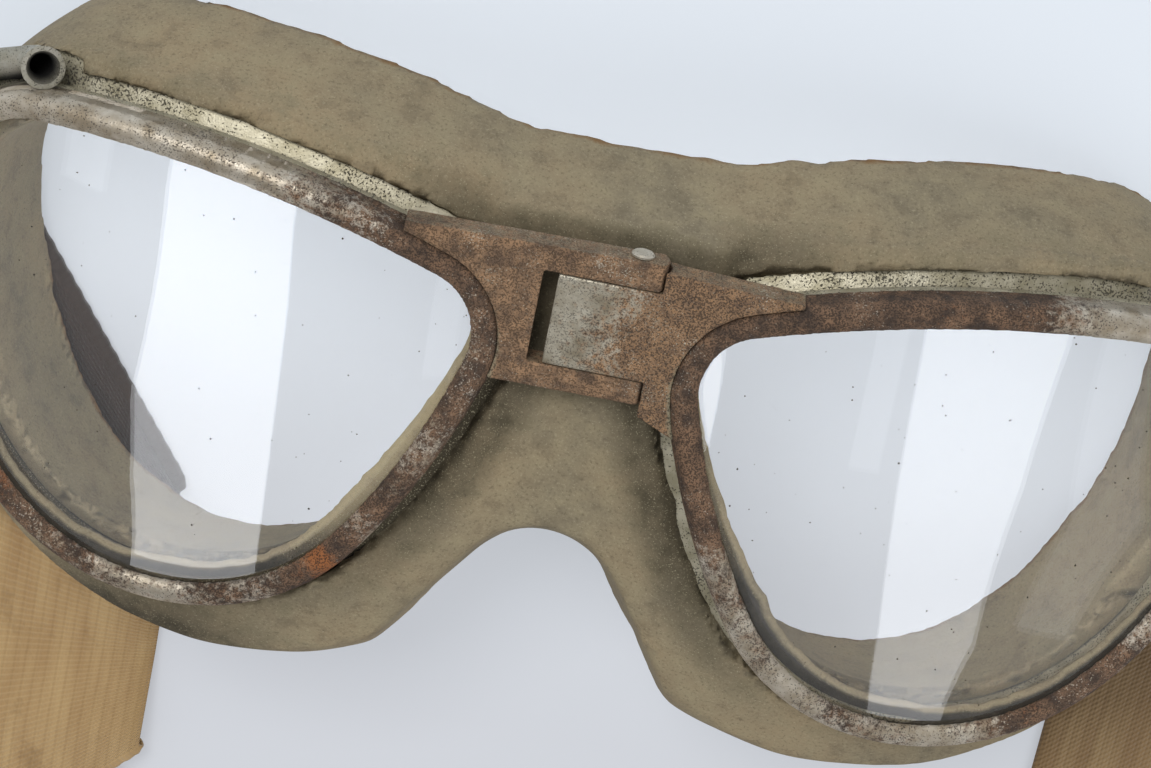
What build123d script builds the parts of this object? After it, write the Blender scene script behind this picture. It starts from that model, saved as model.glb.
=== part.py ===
from build123d import *
import math
import os

# Flying goggles with two lenses, lying on a table with the lenses up.
# X runs to the wearer's left temple, Y to the brow and Z up, out of the lenses. Millimetres.
# Each eye is built in its own frame, with the front of the lens touching the origin, and is then
# turned by the wrap angle and moved out to its place. The left eye is the mirror of the right one.

# Outline of an eye: six tangent arcs, clockwise, along the middle of the bead
eye_width = 74.0
outline_headings = (20.2, -7.8, -86.6, -132.2, -236.7, -255.4)
temple_corner_share = 0.185
cheek_radius_share = 0.412
nose_side_share = 1.27
nose_corner_share = 0.141

# How the two eyes stand
bridge_gap = 28.0
wrap_angle = 10.3
lens_height = 43.3

# Lens
lens_radius = 95.0
lens_thickness = 2.2
lens_grip = 1.2
lens_play = 0.05

# Rim: a half-round bead in front of the lens and a wall round its edge
bead_width = 3.6
bead_sink = 0.3
rim_back = 0.5

# Clamp at the temple side of each rim
clamp_heading = -110.0
split_gap = 0.8
lug_length = 3.2
lug_depth = 4.2
lug_round = 1.2
lug_drop = 1.3
screw_radius = 1.0
screw_head_radius = 1.75
screw_head_height = 1.1
screw_slot_width = 0.5
screw_slot_depth = 0.5
screw_play = 0.05
screw_clearance = 0.6

# Eye cup: a neck behind the rim and a flange for the rubber
cup_wall = 1.0
neck_depth = 3.0
flange_reach = 5.2
flange_thickness = 0.8
solder_gap = 0.05

# Vent tube at the brow side of the temple corner
vent_radius = 2.1
vent_bore = 1.5
vent_mouth_radius = 2.8
vent_mouth_bore = 2.15
vent_mouth_length = 2.2
vent_bend = 4.0
vent_corner_bend = 9.0
vent_heading = -45.0
vent_mouth = (-7.3, 8.6, 0.1)
vent_elbow = (-4.9, 7.5, -4.9)
vent_corner = (5.7, 3.2, -6.7)
vent_tail = (7.3, -2.8, -6.0)

# Bridge: a fork on the left eye and a tongue on the right one, on a pin along Y
pin_place = 4.4
pin_depth = 3.0
pin_radius = 0.8
pin_play = 0.03
pin_head_radius = 1.5
pin_head_height = 0.5
plate_drop = 0.9
plate_depth = 4.2
plate_sheet = 1.4
fork_top = 29.4
fork_bottom = 10.1
fork_top_fall = 1.2
fork_bottom_fall = 0.5
window_top = 25.7
window_bottom = 13.2
window_left = -7.4
tongue_left = -5.4
tongue_play = 0.15
tongue_top_fall = 0.8
tongue_bottom_fall = 2.4
arm_end_radius = 3.5
arm_gap = 0.4
pocket_wall = 1.3

# Rubber cushion: sections as distance outside the bead, shift to the temple, shift to the brow and depth
lip_grip = 3.3
lip_front = 1.5
channel_play = 0.05
notch_play = 1.0
skin_front = (3.4, 0.0, 0.0, 6.0)
skin_swell = (8.6, -4.5, -2.4, 14.0)
skin_flare = (12.2, -8.8, -1.9, 25.0)
skin_back = (9.5, -9.0, -1.5, 46.0)
hollow_front = (-4.4, 0.0, 0.0, 5.0)
hollow_middle = (-2.6, -2.0, -0.3, 20.0)
hollow_back = (1.5, -6.5, 0.5, 50.0)
face_radius = 154.0
face_depth = 21.5
web_front = (15.0, 30.5, -18.0, 7.6)
web_back = (24.0, 40.0, -30.0, 27.0)
nose_arch_angle = 34.0
nose_arch_front = (11.5, -9.5, 2.0)
nose_arch_back = (10.0, -26.0, 34.0)
nose_bridge_radius = 9.0
nose_bridge_depth = 25.0
nose_bridge_top = 14.0
web_left = -9.0
web_right = 14.5
soft_gap = 0.3

# Strap bracket and loop at each temple
barrel_radius = 2.1
barrel_length = 18.0
barrel_reach = 11.0
barrel_drop = 3.9
leaf_thickness = 1.0
leaf_width = 12.0
wire_radius = 1.1
wire_play = 0.08
loop_play = 0.75
loop_reach = 10.0
loop_corner = 2.4
left_lean_angle = 4.0
right_lean_angle = 68.0

# Strap: two halves of flat webbing, each from a sewn end at its loop to the slide
strap_width = 35.0
strap_thickness = 1.5
strap_play = 0.05
strap_end_drop = 5.0
strap_ramp = 14.0
bar_play = 0.3
left_fold_reach = 24.4
left_fold_drop = 6.3
right_fold_reach = 0.6
right_curl_reach = 19.1
second_fold_drop = 88.8
hairpin_reach = 12.6
run_angle = 8.0
slide_place = 0.0

# Slide that joins the strap halves
slide_bar = 3.0
slide_thickness = 1.5
slide_opening = 8.0
slide_rail = 3.0
slide_side_play = 0.8
slide_corner = 2.5
hem_length = 22.0
strap_tail = 34.0

overrun = 20.0

eye_spacing = eye_width + bridge_gap
half_spacing = eye_spacing / 2
sphere_centre = Vector(0, 0, -lens_radius)


def heading_sweep(start, end):
    """Vector travelled along a unit-radius clockwise arc between two headings."""
    a = math.radians(start)
    b = math.radians(end)
    return Vector(math.sin(a) - math.sin(b), math.cos(b) - math.cos(a))


def outline_radii():
    """Six arc radii: four are shares of the eye's width, and the brow and temple ones close the loop."""
    ends = outline_headings[1:] + (outline_headings[0] - 360.0,)
    sweeps = [heading_sweep(a, b) for a, b in zip(outline_headings, ends)]
    known = {1: temple_corner_share, 3: cheek_radius_share, 4: nose_side_share, 5: nose_corner_share}
    rest = Vector(0, 0)
    for index, share in known.items():
        rest = rest - sweeps[index] * share
    p, q = sweeps[0], sweeps[2]
    det = p.X * q.Y - p.Y * q.X
    brow = (rest.X * q.Y - rest.Y * q.X) / det
    temple = (p.X * rest.Y - p.Y * rest.X) / det
    shares = [brow, known[1], temple, known[3], known[4], known[5]]
    return [share * eye_width for share in shares]


def outline_points(radii):
    """Start, middle and end point of each arc, from the first arc's start."""
    ends = outline_headings[1:] + (outline_headings[0] - 360.0,)
    here = Vector(0, 0)
    arcs = []
    for radius, a, b in zip(radii, outline_headings, ends):
        middle = here + heading_sweep(a, (a + b) / 2) * radius
        there = here + heading_sweep(a, b) * radius
        arcs.append((here, middle, there))
        here = there
    return arcs


def outline_face(offset, shift_x=0.0, shift_y=0.0, height=0.0):
    """Flat face inside the eye's outline, grown by an offset and moved."""
    radii = outline_radii()
    centre = make_face(Wire([ThreePointArc(*arc) for arc in outline_points(radii)])).bounding_box().center()
    heading = math.radians(outline_headings[0])
    start = Vector(-math.sin(heading), math.cos(heading)) * offset
    move = Vector(shift_x - centre.X, shift_y - centre.Y, height) + start
    arcs = outline_points([radius + offset for radius in radii])
    return make_face(Wire([ThreePointArc(a + move, b + move, c + move) for a, b, c in arcs]))


def outline_prism(offset):
    """Tall prism on the outline, through the whole depth of the eye."""
    depth = lens_height + overrun
    return extrude(outline_face(offset, height=-depth), depth + overrun)


def ball(radius):
    """Ball about the centre of the lens's curve, its seam and poles away from the rim."""
    return Pos(sphere_centre) * Rot(-90, 0, 0) * Rot(0, 0, 90) * Sphere(radius)


def curved_ring(outer, inner, front, back):
    """Ring that follows the outline between two offsets and two balls."""
    body = outline_prism(outer)
    if inner is not None:
        body -= outline_prism(inner)
    return (body & ball(front)) - ball(back)


def rim_point(heading):
    """Point of the bead's middle line where the outline runs at a heading, on the lens's curve."""
    arcs = outline_points(outline_radii())
    centre = make_face(Wire([ThreePointArc(*arc) for arc in arcs])).bounding_box().center()
    ends = outline_headings[1:] + (outline_headings[0] - 360.0,)
    place = Vector(0, 0)
    for radius, arc, first, last in zip(outline_radii(), arcs, outline_headings, ends):
        if last <= heading <= first:
            place = arc[0] + heading_sweep(first, heading) * radius - centre
    return Vector(place.X, place.Y, -lens_radius + math.sqrt(lens_radius**2 - place.X**2 - place.Y**2))


def bead_half(path):
    """Round tube along a run of the rim's curved middle line."""
    start = path.position_at(0)
    outward = (start - sphere_centre).normalized()
    section = Plane(origin=start - outward * bead_sink, x_dir=outward, z_dir=path.tangent_at(0))
    return sweep(section * Circle(bead_width / 2), path=path, transition=Transition.RIGHT)


def mirrored(shape):
    """The same shape on the other side."""
    return mirror(shape, about=Plane.YZ)


def unchanged(shape):
    """The shape as it is."""
    return shape


def bead_tube(side, first):
    """Round tube all along the rim, in two runs that meet, the first run starting at one of the arcs."""
    cap = side(outline_prism(0.0) & ball(lens_radius))
    edges = [e for e in cap.edges() if abs((e.position_at(0.5) - sphere_centre).length - lens_radius) < bead_sink]
    edges = edges[first:] + edges[:first]
    middle = len(edges) // 2
    return bead_half(Wire(edges[:middle])) + bead_half(Wire(edges[middle:]))


def clamp_place():
    """Frame of the clamp on the rim: X points straight out of the outline and Y runs along the rim."""
    return Pos(rim_point(clamp_heading)) * Rot(0, 0, clamp_heading + 90)


def screw_place():
    """Middle of the clamp screw, just outside the rim."""
    return clamp_place() * Pos(bead_width / 2 + screw_head_radius + screw_clearance, 0, -lug_drop)


def make_rim(side, first):
    """Bead, wall round the lens's edge, split and clamp lugs, on the right side or mirrored."""
    back = lens_radius - lens_thickness - rim_back
    inside = -bead_width / 2 + lens_grip
    wall = curved_ring(bead_width / 2, inside, lens_radius + bead_sink, back)
    band = curved_ring(bead_width / 2 + overrun, -bead_width, lens_radius + bead_width, lens_radius + lens_play)
    reach = bead_width / 2 + 2 * screw_head_radius + screw_clearance
    lugs = clamp_place() * Pos(reach / 2, 0, -lug_drop) * Box(reach, 2 * lug_length + split_gap, lug_depth)
    lugs = fillet(lugs.edges().filter_by(lambda e: abs(e.length - 2 * lug_length - split_gap) < split_gap / 2), lug_round)
    lugs = lugs - outline_prism(inside) - ball(back)
    gap = clamp_place() * Box(2 * (reach + bead_width), split_gap, overrun)
    hole = screw_place() * Rot(90, 0, 0) * Cylinder(screw_radius + screw_play, overrun)
    return side(wall) + (bead_tube(side, first) & side(band)) + side(lugs) - side(gap) - side(hole)


def make_screw():
    """Slotted cheese-head screw through both lugs."""
    length = 2 * lug_length + split_gap
    top = length / 2
    shank = Cylinder(screw_radius, length)
    head = Pos(0, 0, top + screw_head_height / 2) * Cylinder(screw_head_radius, screw_head_height)
    slot = Pos(0, 0, top + screw_head_height) * Box(overrun, screw_slot_width, 2 * screw_slot_depth)
    return screw_place() * Rot(-90, 0, 0) * (shank + head - slot)


def make_lens():
    """Curved glass, held by its edge between the bead and the cup."""
    return curved_ring(-bead_width / 2 + lens_grip - lens_play, None, lens_radius, lens_radius - lens_thickness)


def flange_front():
    """Radius of the ball on which the flange's front lies."""
    return lens_radius - lens_thickness - rim_back - neck_depth


def make_cup():
    """Neck behind the rim and sloping flange that the rubber grips."""
    seat = lens_radius - lens_thickness - rim_back - solder_gap
    inner = -bead_width / 2 + lens_grip - cup_wall
    lip = curved_ring(bead_width / 2, inner, seat, seat - cup_wall)
    neck = curved_ring(inner + 2 * cup_wall, inner, seat, flange_front() - flange_thickness)
    flange = curved_ring(flange_reach, inner, flange_front(), flange_front() - flange_thickness)
    play = vent_stick(vent_mouth_radius + solder_gap, vent_radius + solder_gap)
    return lip + neck + flange - play


def vent_path():
    """Middle line of the vent tube, from its mouth round the corner of the eye."""
    corner = rim_point(vent_heading)
    points = [corner + Vector(*step) for step in (vent_mouth, vent_elbow, vent_corner, vent_tail)]
    return FilletPolyline(*points, radius=[vent_bend, vent_corner_bend])


def tube_along(path, radius):
    """Round rod along straight stretches and arcs."""
    rod = None
    for edge in path.edges():
        section = Plane(origin=edge.position_at(0), z_dir=edge.tangent_at(0)) * Circle(radius)
        if edge.geom_type == GeomType.LINE:
            piece = extrude(section, edge.length)
        else:
            turn = Axis(edge.arc_center, edge.tangent_at(0).cross(edge.tangent_at(0.5)))
            angle = math.degrees(edge.length / edge.radius)
            piece = revolve(section, axis=turn, revolution_arc=angle)
        rod = piece if rod is None else rod + piece
    return rod


def vent_stick(mouth_radius, tube_radius):
    """Solid tube along the vent's path with a flared mouth."""
    path = vent_path()
    axis = -path.tangent_at(0)
    start = path.position_at(0)
    plane = Plane(origin=start, z_dir=axis)
    back = Plane(origin=start - axis * vent_mouth_length, z_dir=axis)
    bell = loft([back * Circle(tube_radius), plane * Circle(mouth_radius)])
    return tube_along(path, tube_radius) + bell


def make_vent():
    """Bent tube that lets air in behind the lens, closed at its tail."""
    path = vent_path()
    end = Plane(origin=path.position_at(1), z_dir=path.tangent_at(1))
    hollow = vent_stick(vent_mouth_bore, vent_bore)
    plug = end.offset(-vent_wall()) * extrude(Circle(vent_bore + vent_wall() / 2), vent_wall())
    return vent_stick(vent_mouth_radius, vent_radius) - hollow + plug


def vent_wall():
    """Wall of the vent tube."""
    return vent_radius - vent_bore


def barrel_place():
    """Middle of the strap bracket's barrel, in the eye's frame."""
    return rim_point(clamp_heading) + Vector(barrel_reach, 0, -barrel_drop)


def make_bracket():
    """Barrel for the strap loop on a leaf that is soldered to the cup's neck."""
    centre = barrel_place()
    neck = -bead_width / 2 + lens_grip + cup_wall
    reach = centre.X - rim_point(clamp_heading).X
    leaf_at = Vector(centre.X - reach / 2, centre.Y, centre.Z - barrel_radius + leaf_thickness / 2)
    leaf = Pos(leaf_at) * Box(reach, leaf_width, leaf_thickness)
    lip_back = lens_radius - lens_thickness - rim_back - cup_wall - 2 * solder_gap
    leaf -= outline_prism(neck + solder_gap)
    leaf -= outline_prism(bead_width / 2 + solder_gap) - ball(lip_back)
    leaf -= outline_prism(flange_reach + solder_gap) & ball(flange_front() + solder_gap)
    barrel = Pos(centre) * Rot(90, 0, 0) * Cylinder(barrel_radius, barrel_length)
    bore = Pos(centre) * Rot(90, 0, 0) * Cylinder(wire_radius + wire_play, barrel_length + overrun)
    return barrel + leaf - bore


def make_loop(lean):
    """Wire bail in its barrel, swung outwards from straight down, as seen in the goggles' own frame."""
    half = strap_width / 2 + loop_play + wire_radius
    corners = [(0, half), (-loop_reach, half), (-loop_reach, -half), (0, -half)]
    frame = [Vector(0, y, z) for z, y in corners]
    path = FilletPolyline(*frame, radius=loop_corner, close=True)
    return Pos(loop_axis()) * Rot(0, -lean, 0) * tube_along(path, wire_radius)


def loop_axis():
    """Middle of the right barrel in the goggles' own frame."""
    return (eye_place() * Pos(barrel_place())).position


def eye_place():
    """Where the right eye stands."""
    return Pos(half_spacing, 0, lens_height) * Rot(0, wrap_angle, 0)


def left_eye_place():
    """Where the left eye stands."""
    return Pos(-half_spacing, 0, lens_height) * Rot(0, -wrap_angle, 0)


def plate_outline(points):
    """Upright block on an outline of the bridge, as deep as its plates."""
    return Pos(0, 0, lens_height - plate_drop) * extrude(make_face(Polyline(*points, close=True)), -plate_depth)


def pin_cylinder(radius):
    """Long cylinder on the hinge pin's axis."""
    return Pos(pin_place, 0, lens_height - pin_depth) * Rot(90, 0, 0) * Cylinder(radius, eye_spacing)


def eye_post(offset):
    """Prism round the right eye in its place."""
    return eye_place() * outline_prism(offset)


def make_fork():
    """Left plate of the bridge, with a window and two knuckle arms."""
    end = pin_place + arm_end_radius
    left = -half_spacing / 2
    fall = (end - left) / half_spacing
    top = (left, fork_top - fork_top_fall * fall)
    bottom = (left, fork_bottom - fork_bottom_fall * fall)
    body = plate_outline([top, (end, fork_top), (end, fork_bottom), bottom])
    round_end = pin_cylinder(arm_end_radius)
    half = Pos(pin_place - eye_spacing / 2, 0, lens_height) * Box(eye_spacing, eye_spacing, eye_spacing)
    body = (body & half) + (body & round_end)
    body -= plate_outline([(window_left, window_top), (eye_spacing, window_top),
                           (eye_spacing, window_bottom), (window_left, window_bottom)])
    rim = bead_width / 2
    inner = window_left - pocket_wall
    pocket = plate_outline([(left, top[1] - pocket_wall), (inner, top[1] - pocket_wall),
                            (inner, fork_bottom + pocket_wall), (left, fork_bottom + pocket_wall)])
    pocket = Pos(0, 0, -plate_sheet) * pocket - mirror(eye_post(rim + pocket_wall), about=Plane.YZ)
    body = body - pocket - mirror(eye_post(rim + solder_gap), about=Plane.YZ)
    return body - pin_cylinder(pin_radius + pin_play)


def make_tongue():
    """Right plate of the bridge, which ends as a tongue in the fork's window."""
    end = pin_place + arm_end_radius + arm_gap
    right = half_spacing / 2
    top = window_top - tongue_play
    bottom = window_bottom + tongue_play
    low = fork_bottom - tongue_bottom_fall * (right - end) / pin_place
    rim = bead_width / 2
    wide = plate_outline([(pin_place, fork_top - tongue_top_fall), (right, fork_top - 2 * tongue_top_fall),
                          (right, low), (pin_place, fork_bottom)])
    wide -= pin_cylinder(arm_end_radius + arm_gap)
    inner = end + pocket_wall
    pocket = plate_outline([(inner, top), (right, top), (right, bottom), (inner, bottom)])
    pocket = Pos(0, 0, -plate_sheet) * pocket - eye_post(rim + pocket_wall)
    tongue = plate_outline([(tongue_left, top), (end + pocket_wall, top),
                            (end + pocket_wall, bottom), (tongue_left, bottom)])
    tongue &= Pos(0, 0, lens_height - plate_drop) * Box(eye_spacing, eye_spacing, 2 * plate_sheet)
    knuckle = Pos(0, (top + bottom) / 2, 0) * pin_barrel(top - bottom)
    body = (wide - pocket) + tongue + knuckle
    return body - eye_post(rim + solder_gap) - pin_cylinder(pin_radius + pin_play)


def pin_barrel(length):
    """Round knuckle on the hinge pin's axis, as thick as the plates."""
    return Pos(pin_place, 0, lens_height - pin_depth) * Rot(90, 0, 0) * Cylinder(plate_depth / 2, length)


def make_pin():
    """Hinge pin with a rivet head on the brow side."""
    length = fork_top - fork_bottom
    middle = (fork_top + fork_bottom) / 2
    shank = Pos(0, middle, 0) * Rot(-90, 0, 0) * Cylinder(pin_radius, length)
    head = Pos(0, fork_top, 0) * Rot(-90, 0, 0) * extrude(Circle(pin_head_radius), pin_head_height)
    head = chamfer(head.edges().group_by(Axis.Y)[-1], pin_head_height / 2)
    return Pos(pin_place, 0, lens_height - pin_depth) * (shank + head)


def cushion_section(section):
    """Outline of the rubber at one depth, from its distance outside the bead, shifts and depth."""
    offset, to_temple, to_brow, depth = section
    return outline_face(offset, to_temple, to_brow, -depth)


def make_lobe():
    """Rubber round one eye: a lip that grips the flange, and a skirt that narrows to the face."""
    skin = loft([cushion_section(s) for s in (skin_front, skin_swell, skin_flare, skin_back)])
    hollow = loft([cushion_section(s) for s in (hollow_front, hollow_middle, hollow_back)])
    return eye_place() * (skin & ball(flange_front() + lip_front)), eye_place() * hollow


def make_channel():
    """Room for the metal of one eye in the rubber's lip."""
    back = flange_front() - flange_thickness - channel_play
    mouth = outline_prism(lip_grip) - ball(back)
    groove = curved_ring(flange_reach + channel_play, None, flange_front() + channel_play, back)
    tube = vent_stick(vent_mouth_radius + channel_play, vent_radius + channel_play)
    round_vent = tube.bounding_box()
    size = round_vent.size + Vector(2 * notch_play, 2 * notch_play, 2 * notch_play)
    notch = Pos(round_vent.center()) * Box(size.X, size.Y, size.Z)
    notch &= outline_prism(flange_reach + channel_play) - ball(back)
    centre = barrel_place()
    leaf = Pos(centre.X - barrel_reach, centre.Y, centre.Z - barrel_radius) * Box(
        2 * barrel_reach, leaf_width + 2 * soft_gap, 2 * (leaf_thickness + soft_gap))
    return eye_place() * (mouth + groove + notch + tube + leaf)


def web_rectangle(size):
    """Flat section of the web between the eyes, from its half width, top, bottom and depth."""
    half, top, bottom, depth = size
    level = lens_height - depth
    return make_face(Polyline((half, bottom, level), (half, top, level), (-half, top, level), (-half, bottom, level),
                              close=True))


def arch_section(size):
    """Nose arch at one depth: a round top with straight sides that run apart below it."""
    radius, top, depth = size
    level = lens_height - depth
    angle = math.radians(nose_arch_angle)
    centre = top - radius
    x = radius * math.cos(angle)
    y = centre + radius * math.sin(angle)
    low = -eye_width
    far = x + (y - low) * math.tan(angle)
    crown = ThreePointArc((x, y, level), (0, top, level), (-x, y, level))
    sides = Polyline((-x, y, level), (-far, low, level), (far, low, level), (x, y, level))
    return make_face([*crown.edges(), *sides.edges()])


def make_mask():
    """Whole rubber mask: two lobes and a web, less the nose arch and the face's curve."""
    lobe, hollow = make_lobe()
    channel = make_channel()
    web = loft([web_rectangle(web_front), web_rectangle(web_back)], ruled=True)
    ridge_end = Pos(0, nose_bridge_top, lens_height - nose_bridge_depth)
    ridge = ridge_end * (Rot(90, 0, 0) * extrude(Circle(nose_bridge_radius), eye_spacing) + Sphere(nose_bridge_radius))
    arch = loft([arch_section(nose_arch_front), arch_section(nose_arch_back)], ruled=True)
    face = Pos(0, 0, lens_height - face_depth - face_radius) * Rot(90, 0, 0) * Cylinder(face_radius, 2 * eye_spacing)
    mask = lobe + mirror(lobe, about=Plane.YZ) + web
    for cut in (hollow, channel):
        mask = mask - cut - mirror(cut, about=Plane.YZ)
    mask = mask - arch - ridge - face
    plates = Box(half_spacing, 2 * eye_width, 2 * (plate_depth + soft_gap))
    return mask - Pos(0, 0, lens_height - plate_drop) * plates


def slab(left, right, bottom):
    """Large block between two places along X, above a level."""
    high = 2 * lens_height
    return Pos((left + right) / 2, 0, bottom + high / 2) * Box(right - left, 4 * eye_width, high)


def make_cushions():
    """The mask in three nodes: the left lobe rests on two layers of strap, the right one on the table."""
    mask = make_mask()
    far = 2 * eye_spacing
    lift = 2 * strap_layer() + strap_play
    left = mask & slab(-far, web_left, lift)
    middle = mask & slab(web_left, web_right, 0)
    right = mask & slab(web_right + soft_gap, far, 0)
    return left, middle, right


def strap_layer():
    """Height of one layer of strap with its play."""
    return strap_thickness + strap_play


def make_strap_end(lean):
    """Doubled webbing sewn round the bar of a loop."""
    inner = wire_radius + bar_play
    outer = inner + strap_thickness
    tip = outer + strap_end_drop
    sides = Polyline((0, outer), (-outer, strap_thickness + strap_play), (-tip, strap_thickness + strap_play),
                     (-tip, -strap_thickness - strap_play), (-outer, -strap_thickness - strap_play), (0, -outer),
                     close=True)
    flat = make_face(sides) + Circle(outer) - Circle(inner)
    body = extrude(flat, strap_width / 2, both=True)
    place = Pos(loop_axis()) * Rot(0, -lean, 0) * Pos(0, 0, -loop_reach) * Rot(90, 0, 0) * Rot(0, 0, 90)
    return place * body


def strap_lead(lean, straight):
    """Webbing from a sewn end down to the table: a straight and a bend that ends heading inwards."""
    angle = math.radians(lean)
    down = Vector(math.sin(angle), 0, -math.cos(angle))
    start = lead_start(lean)
    turn = start + down * straight
    radius = lead_radius(lean, straight)
    centre = turn + Vector(-math.cos(angle), 0, -math.sin(angle)) * radius
    middle = (angle - math.pi / 2) / 2
    bend = ThreePointArc(turn, centre + Vector(math.cos(middle), 0, math.sin(middle)) * radius,
                         centre + Vector(0, 0, -radius))
    section = Plane(origin=turn, x_dir=(0, 1, 0), z_dir=down) * Rectangle(strap_width, strap_thickness)
    lead = sweep(section, path=bend)
    if straight > 0:
        lead += extrude(section, -straight)
    return lead


def lead_start(lean):
    """Where the free webbing begins, just past the sewn end."""
    angle = math.radians(lean)
    down = Vector(math.sin(angle), 0, -math.cos(angle))
    return loop_axis() + down * (loop_reach + strap_end_length() + soft_gap)


def strap_end_length():
    """From the middle of a loop's bar to the tip of the webbing sewn round it."""
    return wire_radius + bar_play + strap_thickness + strap_end_drop


def lead_radius(lean, straight):
    """Radius of the bend that brings the webbing flat to the table."""
    angle = math.radians(lean)
    drop = lead_start(lean).Z - strap_thickness / 2
    return (drop - straight * math.cos(angle)) / (1 + math.sin(angle))


def lead_end(lean, straight):
    """Place along X where the webbing's bend reaches the table."""
    angle = math.radians(lean)
    return lead_start(lean).X + straight * math.sin(angle) - lead_radius(lean, straight) * math.cos(angle)


def fold_line(before, after):
    """Direction of the crease that turns the webbing from one heading to another."""
    return (before + after).normalized()


def strap_run(start, end, first_line, last_line, layers):
    """Flat run of webbing between two lines across it, at a number of layers above the table by distance."""
    heading = (end - start).normalized()
    side = Vector(-heading.Y, heading.X)
    corners = []
    for place, line in ((start, first_line), (end, last_line)):
        reach = line * (strap_width / 2 / line.dot(side))
        corners.append((place + reach, place - reach))
    (a, b), (c, d) = corners
    footprint = extrude(make_face(Polyline(a, c, d, b, close=True)), lens_height)
    ends = [(-strap_width, layers[0][1])] + list(layers) + [((end - start).length + strap_width, layers[-1][1])]
    bottom = [(x, count * strap_layer()) for x, count in ends]
    top = [(x, z + strap_thickness) for x, z in reversed(bottom)]
    profile = Plane(origin=start, x_dir=heading, z_dir=-side) * make_face(Polyline(*bottom, *top, close=True))
    return footprint & extrude(profile, strap_width, both=True)


def crease(place, before, after):
    """Half-round crease where the webbing folds back over itself on the table."""
    line = fold_line(before, after)
    side = Vector(-before.Y, before.X)
    half = strap_width / 2 / abs(line.dot(side))
    radius = (strap_layer() + strap_thickness) / 2
    plane = Plane(origin=place + Vector(0, 0, radius), x_dir=before - after, z_dir=line)
    arc = ThreePointArc((0, -radius), (radius, 0), (0, radius))
    section = make_face([*arc.edges(), *Line((0, radius), (0, -radius)).edges()])
    return extrude(plane * section, half, both=True)


def hairpin_place():
    """Place along X where the left half turns back to the slide."""
    return -loop_axis().X - hairpin_reach


def slide_frame():
    """Frame of the slide: X along the webbing, Z up, on the table."""
    along = Vector(math.cos(math.radians(run_angle)), -math.sin(math.radians(run_angle)))
    y = loop_axis().Y - second_fold_drop + (hairpin_place() - slide_place) * math.tan(math.radians(run_angle))
    return Plane(origin=(slide_place, y, 0), x_dir=along, z_dir=(0, 0, 1))


def slide_height():
    """Height of the underside of the slide, over two layers of webbing."""
    return 2 * strap_layer() + bar_play


def bar_step():
    """From the slide's centre bar to an outer one."""
    return slide_bar + slide_opening


def make_slide():
    """Flat slide with three bars and two openings."""
    width = strap_width + 2 * slide_side_play
    plate = RectangleRounded(2 * bar_step() + slide_bar, width + 2 * slide_rail, slide_corner)
    for side in (-1, 1):
        plate -= Pos(side * bar_step() / 2, 0) * Rectangle(slide_opening, width)
    return slide_frame() * Pos(0, 0, slide_height()) * extrude(plate, slide_thickness)


def make_left_strap():
    """Left half: from its loop under the goggles, out towards the chin, folded back and sewn round the slide."""
    y = loop_axis().Y
    south, west = Vector(0, -1), Vector(-1, 0)
    frame = slide_frame()
    back = frame.x_dir
    start = Vector(-lead_end(left_lean_angle, 0), y)
    first = Vector(left_fold_reach - loop_axis().X, y - left_fold_drop)
    second = Vector(first.X, y - second_fold_drop)
    third = Vector(hairpin_place(), second.Y)
    hem = frame.origin - back * (bar_step() + hem_length)
    half = strap_width / 2
    on, off = half, half + strap_ramp
    over = (third - second).length
    strap = mirror(strap_lead(left_lean_angle, 0), about=Plane.YZ)
    inwards = (first - start).normalized()
    strap += strap_run(start, first, Vector(0, 1), fold_line(inwards, south), ((0, 0),))
    strap += crease(first, inwards, south)
    strap += strap_run(first, second, fold_line(inwards, south), fold_line(south, west), ((on, 1), (off, 0)))
    strap += crease(second, south, west)
    strap += strap_run(second, third, fold_line(south, west), fold_line(west, back), ((on, 1), (off, 0)))
    strap += crease(third, west, back)
    steps = ((over - off, 1), (over - on, 2), (over + off, 2), ((hem - third).length, 0))
    strap += strap_run(third, hem, fold_line(west, back), Vector(-back.Y, back.X), steps)
    bar = slide_height() + slide_thickness / 2
    high = slide_thickness / 2 + bar_play + strap_thickness
    wide = slide_bar / 2 + bar_play + strap_thickness
    taper = Polyline((-bar_step() - hem_length, 0), (-bar_step() - hem_length, strap_thickness),
                     (-bar_step(), bar + high), (-bar_step(), bar - high), close=True)
    wrap = Pos(-bar_step(), bar) * RectangleRounded(2 * wide, 2 * high, strap_thickness)
    slot = Pos(-bar_step(), bar) * Rectangle(slide_bar + 2 * bar_play, slide_thickness + 2 * bar_play)
    side = Plane(origin=frame.origin, x_dir=back, z_dir=-frame.y_dir)
    return strap + extrude(side * (make_face(taper) + wrap - slot), half, both=True)


def strap_links(points):
    """Profile of webbing along a chain of points, with round corners."""
    profile = None
    for a, b in zip(points, points[1:]):
        along = Vector(*b) - Vector(*a)
        angle = math.degrees(math.atan2(along.Y, along.X))
        middle = (Vector(*a) + Vector(*b)) * 0.5
        link = Pos(middle.X, middle.Y) * Rot(0, 0, angle) * SlotCenterToCenter(along.length, strap_thickness)
        profile = link if profile is None else profile + link
    return profile


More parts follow.
